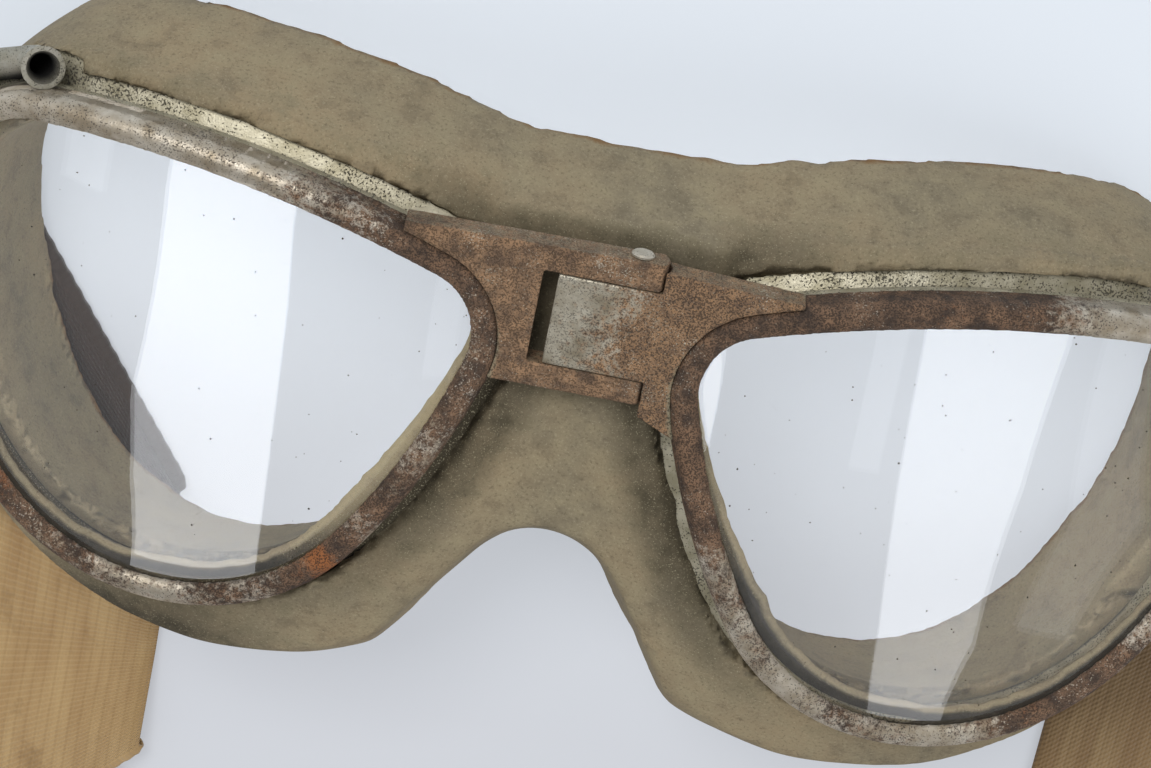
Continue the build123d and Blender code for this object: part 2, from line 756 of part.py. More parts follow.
def make_right_strap():
    """Right half: it curls under itself, folds twice and runs through the slide, with its tail beneath."""
    y = loop_axis().Y
    west, south = Vector(-1, 0), Vector(0, -1)
    frame = slide_frame()
    back = -frame.x_dir
    curl = Vector(loop_axis().X + right_curl_reach, y)
    straight = curl.X - lead_end(right_lean_angle, 0)
    first = Vector(loop_axis().X + right_fold_reach, y)
    second_y = frame.origin.Y - (first.X - slide_place) * math.tan(math.radians(run_angle))
    second = Vector(first.X, second_y)
    half = strap_width / 2
    on, off = half, half + strap_ramp
    entry = bar_step() - slide_bar
    end = frame.origin - back * entry
    length = (end - second).length
    tail = length + entry - strap_tail
    strap = strap_lead(right_lean_angle, straight)
    strap += strap_run(curl, first, Vector(0, 1), fold_line(west, south), ((0, 0),))
    strap += crease(first, west, south)
    strap += strap_run(first, second, fold_line(west, south), fold_line(south, back), ((on, 1), (off, 0)))
    strap += crease(second, south, back)
    steps = ((on + slide_bar, 1), (off + slide_bar, 0), (tail - strap_ramp, 0), (tail, 1))
    strap += strap_run(second, end, fold_line(south, back), frame.y_dir, steps)
    low = strap_thickness / 2
    high = slide_height() + slide_thickness + bar_play + strap_thickness / 2
    turn = slide_opening - strap_thickness - slide_bar / 2 + bar_play
    links = [(entry + strap_thickness, low + strap_layer()), (entry, low + strap_layer()), (slide_bar, high),
             (-slide_bar, high), (-turn, low + strap_layer()), (-turn, low), (strap_tail, low)]
    side = Plane(origin=frame.origin, x_dir=frame.x_dir, z_dir=-frame.y_dir)
    return strap + extrude(side * strap_links(links), half, both=True)


def pieces():
    """Every node by name, in the goggles' own frame."""
    parts = {}
    parts["rim_right"] = eye_place() * make_rim(unchanged, 2)
    parts["rim_left"] = left_eye_place() * make_rim(mirrored, 0)
    eye = {
        "rim_screw": make_screw(),
        "lens": make_lens(),
        "eye_cup": make_cup(),
        "vent_tube": make_vent(),
        "loop_bracket": make_bracket(),
    }
    for name, shape in eye.items():
        right = eye_place() * shape
        parts[name + "_right"] = right
        parts[name + "_left"] = mirror(right, about=Plane.YZ)
    parts["strap_loop_right"] = make_loop(right_lean_angle)
    parts["strap_loop_left"] = mirror(make_loop(left_lean_angle), about=Plane.YZ)
    parts["strap_end_right"] = make_strap_end(right_lean_angle)
    parts["strap_end_left"] = mirror(make_strap_end(left_lean_angle), about=Plane.YZ)
    parts["bridge_fork"] = make_fork()
    parts["bridge_tongue"] = make_tongue()
    parts["hinge_pin"] = make_pin()
    parts["cushion_left"], parts["cushion_bridge"], parts["cushion_right"] = make_cushions()
    parts["strap_left"] = make_left_strap()
    parts["strap_right"] = make_right_strap()
    parts["strap_slide"] = make_slide()
    return parts


os.makedirs("parts", exist_ok=True)
model = pieces()
box = Compound(children=[Part(shape.wrapped) for shape in model.values()]).bounding_box()
home = Pos(-box.center().X, -box.center().Y, -box.min.Z)
for node, shape in model.items():
    export_step(home * shape, "parts/" + node + ".step")

print("size", box.size)
print("right eye", (home * eye_place()).position)
print("hinge pin", (home * Pos(pin_place, 0, lens_height - pin_depth)).position)
print("right loop axis", (home * Pos(loop_axis())).position)
print("slide", (home * slide_frame().location).position)
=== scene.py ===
# %% [markdown]
# # Worn flying goggles in Blender
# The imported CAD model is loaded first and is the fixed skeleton: every metal part stands where it says.
# Around it this file makes what a CAD model lacks: perished rubber, ribbed webbing, rust, pits and glass.
# All lengths are in metres, with X to the right of the photograph, Y to the brow and Z towards the camera.

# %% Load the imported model
import math
import random

import bpy
import numpy as np
from mathutils import Matrix, Vector, noise
from mathutils.bvhtree import BVHTree


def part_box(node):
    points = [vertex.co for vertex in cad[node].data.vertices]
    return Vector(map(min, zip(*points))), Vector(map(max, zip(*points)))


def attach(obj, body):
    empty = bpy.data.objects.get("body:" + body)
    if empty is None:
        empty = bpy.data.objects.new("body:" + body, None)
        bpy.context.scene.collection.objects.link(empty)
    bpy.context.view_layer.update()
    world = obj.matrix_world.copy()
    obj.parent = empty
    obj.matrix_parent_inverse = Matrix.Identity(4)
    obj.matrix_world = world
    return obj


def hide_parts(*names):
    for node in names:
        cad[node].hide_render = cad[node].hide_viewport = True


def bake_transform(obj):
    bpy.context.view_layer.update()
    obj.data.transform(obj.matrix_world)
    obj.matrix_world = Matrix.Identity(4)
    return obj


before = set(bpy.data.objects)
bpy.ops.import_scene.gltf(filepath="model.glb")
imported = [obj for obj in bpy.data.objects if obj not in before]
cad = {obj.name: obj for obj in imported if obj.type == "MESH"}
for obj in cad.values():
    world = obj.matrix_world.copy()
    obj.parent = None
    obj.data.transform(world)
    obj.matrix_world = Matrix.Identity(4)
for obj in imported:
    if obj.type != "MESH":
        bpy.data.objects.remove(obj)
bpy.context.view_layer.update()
mm = 0.001

# %% [markdown]
# The camera stands 0.44 m above the table and a little towards the brow, tilted, with a long lens.
# Its place and turn were worked out from the outline of both lenses, so that the render and the
# photograph can be laid over each other.

# %% Camera
home = Vector((-6.2735, 47.6053, 43.3)) * mm
camera_data = bpy.data.cameras.new("camera")
camera_data.lens = 108.09
camera_data.sensor_width = 36.0
camera_data.clip_start = 0.01
camera_data.clip_end = 20.0
camera = bpy.data.objects.new("camera", camera_data)
bpy.context.scene.collection.objects.link(camera)
camera_right = Vector((0.9806, 0.1872, -0.0583))
camera_up = Vector((-0.1949, 0.8985, -0.3933))
camera_back = Vector((-0.0212, 0.397, 0.9176))
turn = Matrix((camera_right, camera_up, camera_back)).transposed()
camera.matrix_world = Matrix.Translation(home + Vector((-9.9, 184.6, 399.4)) * mm) @ turn.to_4x4()
bpy.context.scene.camera = camera
bpy.context.scene.view_settings.view_transform = "Standard"


# %% [markdown]
# Small helpers for materials. A colour is written as the sRGB hex value that the eye sees, and one
# function turns it to the linear value that Blender mixes with. One function adds any node, and one
# gives a node its inputs.

# %% Material helpers
def linear(code):
    """Linear RGBA of an sRGB hex colour."""
    parts = [int(code[i:i + 2], 16) / 255 for i in (1, 3, 5)]
    return [c / 12.92 if c <= 0.04045 else ((c + 0.055) / 1.055) ** 2.4 for c in parts] + [1.0]


def new_material(name):
    """Material with its node tree and its Principled shader."""
    material = bpy.data.materials.new(name)
    material.use_nodes = True
    return material, material.node_tree, material.node_tree.nodes["Principled BSDF"]


def connect(tree, node, inputs):
    """Sets inputs of a node; each is a value or the socket that feeds it."""
    for key, value in inputs.items():
        if isinstance(value, bpy.types.NodeSocket):
            tree.links.new(value, node.inputs[key])
        else:
            node.inputs[key].default_value = value


def add(tree, kind, inputs=None, **settings):
    """Adds a shader node of a kind."""
    made = tree.nodes.new("ShaderNode" + kind)
    for key, value in settings.items():
        setattr(made, key, value)
    connect(tree, made, inputs or {})
    return made


def place_in_metres(tree):
    """Position on the piece, in metres."""
    return add(tree, "TexCoord").outputs["Object"]


def grain(tree, size, detail=4.0, rough=0.5, where=None):
    """Cloudy pattern whose blotches are about that many metres across."""
    where = where or place_in_metres(tree)
    inputs = {"Vector": where, "Scale": 0.6 / size, "Detail": detail, "Roughness": rough}
    return add(tree, "TexNoise", inputs).outputs["Fac"]


def ramp(tree, value, low, high, start=0.0, end=1.0):
    """Value stretched from one range to another, and kept inside it."""
    inputs = {"Value": value, "From Min": low, "From Max": high, "To Min": start, "To Max": end}
    return add(tree, "MapRange", inputs).outputs["Result"]


def calc(tree, operation, first, second=0.0):
    """One sum on numbers."""
    return add(tree, "Math", {0: first, 1: second}, operation=operation).outputs[0]


def stir(tree, value, pattern, amount):
    """Value pushed up and down by a pattern whose middle is 0.5."""
    return calc(tree, "ADD", value, calc(tree, "MULTIPLY", calc(tree, "SUBTRACT", pattern, 0.5), amount))


def attribute(tree, name):
    """Number that the mesh stores under that name."""
    return add(tree, "Attribute", attribute_name=name).outputs["Fac"]


def blend_colour(tree, share, first, second):
    """Two colours mixed by a share; each is a hex value or a socket."""
    mix = add(tree, "Mix", {"Factor": share}, data_type="RGBA")
    for socket, value in ((mix.inputs[6], first), (mix.inputs[7], second)):
        if isinstance(value, str):
            socket.default_value = linear(value)
        else:
            tree.links.new(value, socket)
    return mix.outputs[2]


def tint(tree, colour, value, low, high, share, second):
    """Colour turned towards a second one, by up to that share where the value goes from low to high."""
    return blend_colour(tree, ramp(tree, value, low, high, 0.0, share), colour, second)


def bump(tree, shader, height, depth):
    """Relief of that many metres on the shader."""
    made = add(tree, "Bump", {"Height": height, "Distance": depth, "Strength": 1.0})
    connect(tree, shader, {"Normal": made.outputs["Normal"]})


def dress(obj, material):
    """Gives an object one material."""
    obj.data.materials.clear()
    obj.data.materials.append(material)


# %% [markdown]
# Nickel plate on brass or steel goes in stages: it dulls, gets pinholes that fill with black dirt, and
# then lifts where rust spreads below it, with bright grains of plate left between. A vertex attribute
# named rust says how far that has gone at each place, orange marks fresh rust, and pale marks the chalky
# seams and, on the bridge plates, a painted highlight on the top faces. A node without these attributes
# gets the even amount given. The pits are about 0.15 mm across, as on the real plate. Corners and bores
# that an ambient occlusion node finds are darkened to near black, which is painted shade with some soot,
# and the left cup is caked with grime beside the nose.

# %% Plated metal
def plated_metal(name, colours, pit_size, pit_share=0.8, even_rust=None, roughness=0.45, grime=None,
                 soot_and_shade_reach=None):
    """Pitted plate over rust; colours are bright and dull plate, dark and light rust, and rust grains."""
    bright, dull, rust_dark, rust_light, rust_grains = colours
    material, tree, shader = new_material(name)
    where = place_in_metres(tree)
    cloud = grain(tree, 5 * mm, 5.0, 0.6, where)
    fine = grain(tree, 0.5 * mm, 3.0, 0.6, where)
    grit = grain(tree, 0.14 * mm, 2.0, 0.5, where)
    amount = attribute(tree, "rust") if even_rust is None else even_rust
    ragged = stir(tree, stir(tree, amount, cloud, 1.0), fine, 1.0)
    rusted = ramp(tree, ragged, 0.3, 0.62)
    dullness = ramp(tree, grain(tree, 2.2 * mm, 4.0, 0.6, where), 0.35, 0.65)
    plate = blend_colour(tree, dullness, bright, dull)
    blotches = ramp(tree, grain(tree, 1.6 * mm, 5.0, 0.7, where), 0.38, 0.62)
    rust = blend_colour(tree, blotches, rust_dark, rust_light)
    rust = tint(tree, rust, grit, 0.55, 0.66, 0.6, rust_grains)
    scarce = calc(tree, "MULTIPLY", ramp(tree, ragged, 0.5, 1.0), -0.06)
    flecks = calc(tree, "ADD", grain(tree, 0.16 * mm, 3.0, 0.6, where), stir(tree, scarce, cloud, -0.5))
    plate_left = calc(tree, "MULTIPLY", ramp(tree, flecks, 0.58, 0.66), 0.75)
    rusted = calc(tree, "MULTIPLY", rusted, calc(tree, "SUBTRACT", 1.0, plate_left))
    colour = blend_colour(tree, rusted, plate, rust)
    if even_rust is None:
        orange = ramp(tree, stir(tree, attribute(tree, "orange"), fine, 1.2), 0.4, 1.0, 0.0, 0.8)
        colour = blend_colour(tree, orange, colour, "#9E6030")
        # pale is the chalky seams and, on the bridge plates, a painted highlight on their top faces.
        pale = ramp(tree, stir(tree, attribute(tree, "pale"), fine, 1.2), 0.3, 0.9, 0.0, 0.8)
        colour = blend_colour(tree, pale, colour, "#8B866F")
        rusted = calc(tree, "MAXIMUM", rusted, calc(tree, "MAXIMUM", orange, pale))
    spread = stir(tree, calc(tree, "MULTIPLY", ramp(tree, ragged, -0.2, 0.6), 0.1), cloud, 0.3)
    holes = ramp(tree, calc(tree, "ADD", grain(tree, pit_size, 2.0, 0.5, where), spread), 0.63, 0.68)
    colour = blend_colour(tree, calc(tree, "MULTIPLY", holes, pit_share), colour, "#1B1611")
    if grime is not None:
        parts = add(tree, "SeparateXYZ", {"Vector": where})
        beside_nose = ramp(tree, parts.outputs["X"], home.x - 2 * mm, home.x - 6 * mm)
        below_brow = ramp(tree, parts.outputs["Y"], home.y + 12 * mm, home.y + 8 * mm)
        inside = calc(tree, "MULTIPLY", beside_nose, below_brow)
        soil = blend_colour(tree, ramp(tree, grit, 0.58, 0.66), grime, "#A39A7E")
        colour = blend_colour(tree, inside, colour, soil)
        rusted = calc(tree, "MAXIMUM", rusted, inside)
    # Painted shade with some soot: corners and bores that the ambient occlusion node finds are made near
    # black.
    if soot_and_shade_reach is not None:
        open_air = add(tree, "AmbientOcclusion", {"Distance": soot_and_shade_reach}, samples=8)
        soot_and_shade = ramp(tree, open_air.outputs["AO"], 0.75, 0.35)
        colour = blend_colour(tree, soot_and_shade, colour, "#0B0A08")
        rusted = calc(tree, "MAXIMUM", rusted, soot_and_shade)
    bare = calc(tree, "MULTIPLY", calc(tree, "SUBTRACT", 1.0, rusted), calc(tree, "SUBTRACT", 1.0, holes))
    polish = calc(tree, "ADD", bare, calc(tree, "MULTIPLY", fine, -0.4))
    connect(tree, shader, {"Base Color": colour, "Metallic": ramp(tree, bare, 0.0, 1.0, 0.1, 0.85),
                           "Roughness": ramp(tree, polish, -0.3, 0.9, 0.85, roughness)})
    relief = calc(tree, "SUBTRACT", calc(tree, "ADD", fine, grit), calc(tree, "MULTIPLY", holes, 1.2))
    bump(tree, shader, relief, 0.05 * mm)
    return material


steel_plate = ("#CDC6B4", "#9C917C")
wire_rust = ("#5A4032", "#7C5A40", "#A0683C")
rim_metal = plated_metal("pitted nickel plate on rusted brass",
                         ("#D0C7B7", "#A3957F", "#43352B", "#7C6049", "#96704F"), 0.14 * mm, 0.75)
bridge_metal = plated_metal("rusted pressed steel",
                            (*steel_plate, "#5F4B3A", "#967658", "#A98259"), 0.14 * mm, 0.65)
tongue_metal = plated_metal("densely pitted plated steel",
                            (*steel_plate, "#65503E", "#927355", "#A37C54"), 0.13 * mm, 0.65)
cup_metal = plated_metal("cream tarnished nickel sheet",
                         ("#D8D1BA", "#B0A88E", "#7A7158", "#968D70", "#B3AA88"), 0.17 * mm,
                         even_rust=0.15, roughness=0.5, grime="#4E4634", soot_and_shade_reach=0.9 * mm)
wire_metal = plated_metal("dull nickel-plated wire",
                          ("#B0ACA2", "#8A857A", *wire_rust), 0.2 * mm, even_rust=0.12)
pin_metal = plated_metal("rubbed nickel rivet",
                         ("#DAD4C6", "#B9B1A0", *wire_rust), 0.15 * mm, even_rust=0.0)
# The tube's bore is painted near black, as painted shade with some soot.
vent_metal = plated_metal("dull tarnished nickel tube",
                          ("#B4B0A4", "#96917E", "#6B6653", "#857D66", "#7A735E"), 0.12 * mm,
                          even_rust=0.1, roughness=0.5, soot_and_shade_reach=4 * mm)
print("metals made")


# %% [markdown]
# Old rubber is matt, with a bloom of fine pale grains. Vertex attributes say where it differs: dirt has
# gathered next to the metal, where painted shade is mixed in, and is black above 1, and the painted shade
# of the left cheek comes in the same way; lip is the yellowed edge under the glass, and edge is the thin
# rear edge, which has gone brown.

# %% Aged rubber
def aged_rubber():
    """Perished moulded rubber."""
    material, tree, shader = new_material("aged moulded rubber")
    where = place_in_metres(tree)
    broad = grain(tree, 14 * mm, 4.0, 0.6, where)
    cloud = grain(tree, 2.4 * mm, 5.0, 0.65, where)
    fine = grain(tree, 0.24 * mm, 3.0, 0.6, where)
    colour = blend_colour(tree, ramp(tree, broad, 0.38, 0.62), "#8F7F63", "#7A705B")
    colour = tint(tree, colour, cloud, 0.4, 0.68, 0.7, "#958A6E")
    colour = tint(tree, colour, cloud, 0.45, 0.28, 0.55, "#675D48")
    colour = tint(tree, colour, fine, 0.58, 0.72, 0.4, "#A89E82")
    colour = tint(tree, colour, fine, 0.45, 0.3, 0.5, "#554C3A")
    # The dirt attribute also carries painted shade next to the metal and on the left cheek.
    dirt = attribute(tree, "dirt")
    colour = tint(tree, colour, stir(tree, dirt, cloud, 1.1), 0.3, 0.95, 0.85, "#3A3426")
    black = ramp(tree, stir(tree, stir(tree, dirt, cloud, 0.9), fine, 0.9), 1.0, 1.35)
    salt = calc(tree, "ADD", grain(tree, 0.13 * mm, 2.0, 0.5, where), calc(tree, "MULTIPLY", dirt, 0.06))
    salt = calc(tree, "SUBTRACT", salt, calc(tree, "MULTIPLY", black, 0.3))
    colour = tint(tree, colour, salt, 0.66, 0.73, 0.42, "#B5AC8E")
    colour = tint(tree, colour, stir(tree, attribute(tree, "lip"), cloud, 0.9), 0.25, 1.0, 0.75, "#A3956F")
    colour = blend_colour(tree, calc(tree, "MULTIPLY", black, 0.8), colour, "#1D1B17")
    colour = tint(tree, colour, stir(tree, attribute(tree, "edge"), cloud, 3.9), 0.0, 1.0, 0.85, "#745430")
    connect(tree, shader, {"Base Color": colour, "Roughness": ramp(tree, cloud, 0.3, 0.7, 0.72, 0.9),
                           "Specular IOR Level": 0.35})
    bump(tree, shader, calc(tree, "ADD", cloud, calc(tree, "MULTIPLY", fine, 0.5)), 0.16 * mm)
    return material


rubber = aged_rubber()


# %% [markdown]
# The strap is elastic webbing: cords of rubber wrapped in cotton run along it 1.55 mm apart, and a fine
# weft crosses them, drawn every 0.9 mm so that it shows. Its UV map is in metres, across and along, so
# the weave turns with every fold. The ribs are in the mesh, and the rest is in the material.

# %% Webbing
rib_pitch = 1.55 * mm
weft_pitch = 0.9 * mm


def webbing_material():
    """Ribbed cotton webbing."""
    material, tree, shader = new_material("ribbed cotton webbing")
    uv = add(tree, "UVMap", uv_map="weave").outputs["UV"]
    across_it, along_it, _ = add(tree, "SeparateXYZ", {"Vector": uv}).outputs
    cord = calc(tree, "COSINE", calc(tree, "MULTIPLY", across_it, math.tau / rib_pitch))
    weft = calc(tree, "SINE", calc(tree, "MULTIPLY", along_it, math.tau / weft_pitch))
    thread = calc(tree, "SINE", calc(tree, "MULTIPLY", across_it, math.tau / (rib_pitch / 3)))
    drawn_out = add(tree, "Mapping", {"Vector": uv, "Scale": (260.0, 40.0, 1.0)}).outputs[0]
    streak = add(tree, "TexNoise", {"Vector": drawn_out, "Scale": 1.0, "Detail": 3.0})
    colour = blend_colour(tree, ramp(tree, streak.outputs["Fac"], 0.35, 0.65), "#A08055", "#B39567")
    colour = tint(tree, colour, cord, -0.5, -1.0, 0.22, "#86683D")
    colour = tint(tree, colour, weft, 0.2, 1.0, 0.16, "#CDB48A")
    colour = tint(tree, colour, grain(tree, 3.5 * mm, 4.0, 0.6), 0.58, 0.72, 0.5, "#80633D")
    off_middle = calc(tree, "ABSOLUTE", across_it)
    colour = tint(tree, colour, off_middle, 14.5 * mm, 17.5 * mm, 0.5, "#8A6A3C")
    # Painted shadow: the strap is dark brown where it lies in the shade under the mask.
    colour = blend_colour(tree, attribute(tree, "painted_shadow"), colour, "#33241A")
    connect(tree, shader, {"Base Color": colour, "Roughness": 0.92, "Sheen Weight": 0.25,
                           "Sheen Roughness": 0.5})
    relief = calc(tree, "ADD", calc(tree, "MULTIPLY", weft, 0.5), calc(tree, "MULTIPLY", thread, 0.35))
    bump(tree, shader, relief, 0.1 * mm)
    return material


webbing = webbing_material()


def plain_material(name, colour, second, size, roughness):
    """Mottled material of two near colours."""
    material, tree, shader = new_material(name)
    pattern = grain(tree, size)
    mixed = blend_colour(tree, ramp(tree, pattern, 0.35, 0.65), colour, second)
    connect(tree, shader, {"Base Color": mixed, "Roughness": roughness})
    bump(tree, shader, pattern, 0.05 * mm)
    return material


sewing_thread = plain_material("waxed cotton thread", "#8B6F45", "#A58A5E", 0.4 * mm, 0.85)
glass_dirt = plain_material("dry specks of dirt", "#2A241C", "#51473A", 0.3 * mm, 0.9)

# %% [markdown]
# The lenses are clear curved glass. What shows is mostly what lies behind, and the long white bands that
# the studio panels draw on the curve.

# %% Glass
glass, tree, shader = new_material("clear curved glass")
haze = ramp(tree, grain(tree, 6 * mm), 0.4, 0.7, 0.0, 0.02)
connect(tree, shader, {"Base Color": linear("#FFFFFF"), "Transmission Weight": 1.0, "IOR": 1.5,
                       "Roughness": haze})


# %% [markdown]
# A worn metal part has no sharp edges. Each one starts as a copy of its CAD node, is remeshed finely
# and smoothed a little, and gets shallow dents. It stands for its node and moves with the same body.

# %% Worn metal copies
def select_only(*objects):
    """Selects these objects and makes the first one active."""
    bpy.ops.object.select_all(action="DESELECT")
    for obj in objects:
        obj.select_set(True)
    bpy.context.view_layer.objects.active = objects[0]


def put(name, data):
    """Object in the scene that shows this data."""
    obj = bpy.data.objects.new(name, data)
    bpy.context.scene.collection.objects.link(obj)
    return obj


def edit_whole(obj, operator, **settings):
    """Runs a mesh operator on all of an object."""
    select_only(obj)
    bpy.ops.object.mode_set(mode="EDIT")
    bpy.ops.mesh.select_all(action="SELECT")
    operator(**settings)
    bpy.ops.object.mode_set(mode="OBJECT")


def copy_of(node, name):
    """Closed copy of a CAD node's mesh."""
    obj = put(name, cad[node].data.copy())
    edit_whole(obj, bpy.ops.mesh.remove_doubles, threshold=0.01 * mm)
    return obj


def shell_object(name, points, faces):
    """Closed shell from points and faces, with every face turned outwards."""
    mesh = bpy.data.meshes.new(name)
    mesh.from_pydata(points, [], faces)
    obj = put(name, mesh)
    edit_whole(obj, bpy.ops.mesh.normals_make_consistent, inside=False)
    return obj


def join_all(name, pieces, material):
    """Joins small pieces into one object."""
    select_only(*pieces)
    bpy.ops.object.join()
    pieces[0].name = name
    bpy.ops.object.transform_apply(location=True, rotation=True, scale=True)
    dress(pieces[0], material)
    return pieces[0]


def voxel_remesh(obj, size):
    """Even mesh over the whole surface."""
    select_only(obj)
    obj.data.remesh_voxel_size = size
    obj.data.remesh_voxel_adaptivity = 0.0
    bpy.ops.object.voxel_remesh()


def soften(obj, rounds, group=""):
    """Rounds the edges, all over or in one vertex group."""
    select_only(obj)
    bpy.ops.object.modifier_add(type="SMOOTH")
    smooth = obj.modifiers[-1]
    smooth.iterations = rounds
    smooth.factor = 0.5
    smooth.vertex_group = group
    bpy.ops.object.modifier_apply(modifier=smooth.name)


def read_points(obj):
    """Vertices as rows of numbers."""
    points = np.zeros(len(obj.data.vertices) * 3)
    obj.data.vertices.foreach_get("co", points)
    return points.reshape(-1, 3)


def read_normals(obj):
    """Vertex normals as rows of numbers."""
    normals = np.zeros(len(obj.data.vertices) * 3)
    obj.data.vertices.foreach_get("normal", normals)
    return normals.reshape(-1, 3)


def write_points(obj, points):
    """Puts the vertices where the rows say."""
    obj.data.vertices.foreach_set("co", points.ravel())
    obj.data.update()


def lumps(points, size, seed=0.0):
    """Smooth noise from -1 to 1 at each point."""
    shift = Vector((seed, seed * 0.7, -seed))
    return np.array([noise.noise(Vector(p) / size + shift) for p in points])


def set_attribute(obj, name, values):
    """Stores one number for each vertex."""
    stored = obj.data.attributes.new(name, "FLOAT", "POINT")
    stored.data.foreach_set("value", np.asarray(values, np.float32))


def smooth_shading(obj):
    """Smooth shading all over."""
    obj.data.polygons.foreach_set("use_smooth", [True] * len(obj.data.polygons))
    obj.data.update()


def worn_copy(node, material, body, size=0.3 * mm, rounds=2, swell=0.0):
    """Softened, dented copy that stands for a CAD node."""
    obj = copy_of(node, node + "_worn")
    voxel_remesh(obj, size)
    soften(obj, rounds)
    points = read_points(obj)
    dents = lumps(points, 1.6 * mm, 3.0) * 0.035 * mm + lumps(points, 0.6 * mm, 9.0) * 0.02 * mm
    write_points(obj, points + read_normals(obj) * (dents + swell)[:, None])
    smooth_shading(obj)
    dress(obj, material)
    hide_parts(node)
    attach(obj, body)
    print(obj.name, len(obj.data.polygons), "faces")
    return obj


def rust_round(points, centre, knots):
    """Rust by direction round an eye: knots are degrees from the right, counter-clockwise, and amounts."""
    angles = np.degrees(np.arctan2(points[:, 1] - centre[1], points[:, 0] - centre[0])) % 360.0
    return np.interp(angles, [k[0] for k in knots], [k[1] for k in knots])


def eye_centre(side):
    """Middle of a lens."""
    low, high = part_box("lens_" + side)
    return (low + high) / 2


def surface_tree(*nodes):
    """Search tree over the faces of some CAD nodes."""
    points, faces = [], []
    for node in nodes:
        shift = len(points)
        points += [v.co.copy() for v in cad[node].data.vertices]
        faces += [tuple(v + shift for v in p.vertices) for p in cad[node].data.polygons]
    return BVHTree.FromPolygons(points, faces)


def nearness(points, surface, reach):
    """1 on a surface, falling to 0 at that reach from it."""
    near = np.zeros(len(points))
    for k, point in enumerate(points):
        found = surface.find_nearest(Vector(point), reach)
        if found[0] is not None:
            near[k] = 1 - found[3] / reach
    return near


# %% [markdown]
# The rims carry their rust where the real ones do, so the amounts are given by direction round each eye,
# in degrees from the right and counter-clockwise. A rim is smoothed hard, because it is a rolled bead,
# and then swollen by as much as that takes off. The bridge plates are pale along the seam with each rim,
# their top faces get a painted highlight, and the tongue's tip is kept bright by the fork.

# %% Rims and bridge
rim_swell = 0.16 * mm
left_rust = ((0, 0.7), (15, 0.8), (30, 0.85), (45, 0.8), (62, 0.55), (78, 0.38), (95, 0.15), (120, 0.0),
             (170, 0.1), (200, 0.6), (225, 1.0), (240, 0.7), (255, 0.5), (272, 0.4), (300, 0.45),
             (313, 0.8), (322, 0.75), (330, 0.55), (345, 0.62), (360, 0.7))
right_rust = ((0, 0.3), (40, 0.1), (60, 0.15), (75, 0.5), (90, 0.9), (110, 1.0), (135, 0.9), (150, 0.8),
              (170, 1.0), (185, 0.9), (200, 0.5), (215, 0.3), (240, 0.3), (262, 0.4), (285, 0.25),
              (296, 0.6), (305, 0.95), (325, 0.9), (340, 0.5), (360, 0.3))
left_orange = ((0, 0.0), (200, 0.0), (222, 0.6), (236, 0.1), (305, 0.1), (312, 0.5), (318, 1.2),
               (323, 0.2), (330, 0.0), (360, 0.0))
right_orange = ((0, 0.0), (85, 0.1), (100, 0.3), (130, 0.1), (170, 0.25), (200, 0.1), (295, 0.1),
                (305, 0.4), (330, 0.0), (360, 0.0))
for side, rust_knots, orange_knots in (("left", left_rust, left_orange),
                                       ("right", right_rust, right_orange)):
    rim = worn_copy("rim_" + side, rim_metal, side + "_frame", 0.32 * mm, 9, rim_swell)
    points = read_points(rim)
    set_attribute(rim, "rust", rust_round(points, eye_centre(side), rust_knots))
    set_attribute(rim, "orange", rust_round(points, eye_centre(side), orange_knots))
    set_attribute(rim, "pale", np.zeros(len(points)))

rims = surface_tree("rim_left", "rim_right")
lower_arm_top = home.y - 6 * mm
fork = worn_copy("bridge_fork", bridge_metal, "left_frame", 0.24 * mm)
tongue = worn_copy("bridge_tongue", tongue_metal, "right_frame", 0.24 * mm)
for plate in (fork, tongue):
    points = read_points(plate)
    seam = nearness(points, rims, 1.1 * mm)
    # Painted highlight: the faces of the plates turned towards the brow are made pale, as if lit from
    # above.
    top_face_highlight = np.clip(read_normals(plate)[:, 1] - 0.35, 0, 0.6) * 0.8
    set_attribute(plate, "pale", np.maximum(seam * 1.2, top_face_highlight))
    set_attribute(plate, "orange", np.where(points[:, 1] < lower_arm_top, 0.6, 0.1))
set_attribute(fork, "rust", np.full(len(fork.data.vertices), 0.85))
tongue_x = (read_points(tongue)[:, 0] - home.x) / mm
set_attribute(tongue, "rust", np.interp(tongue_x, [-5, -1, 4, 9], [0.15, 0.3, 0.65, 0.85]))

# %% Materials for the CAD nodes that show
for side in ("left", "right"):
    cad["lens_" + side].visible_shadow = False
    for node, material in (("lens", glass), ("eye_cup", cup_metal), ("vent_tube", vent_metal),
                           ("rim_screw", wire_metal), ("loop_bracket", wire_metal),
                           ("strap_loop", wire_metal)):
        dress(cad[node + "_" + side], material)
dress(cad["hinge_pin"], pin_metal)
dress(cad["strap_slide"], wire_metal)


# %% [markdown]
# The face cushion is one soft moulding. Its three CAD solids are joined, remeshed at 0.85 mm and
# smoothed, which rounds the lip over the metal as moulded rubber is round, and the web at the bridge is
# smoothed more. The bend of the face is a cylinder, so how near a point is to the rear edge is its
# distance from that cylinder. That edge is nibbled.

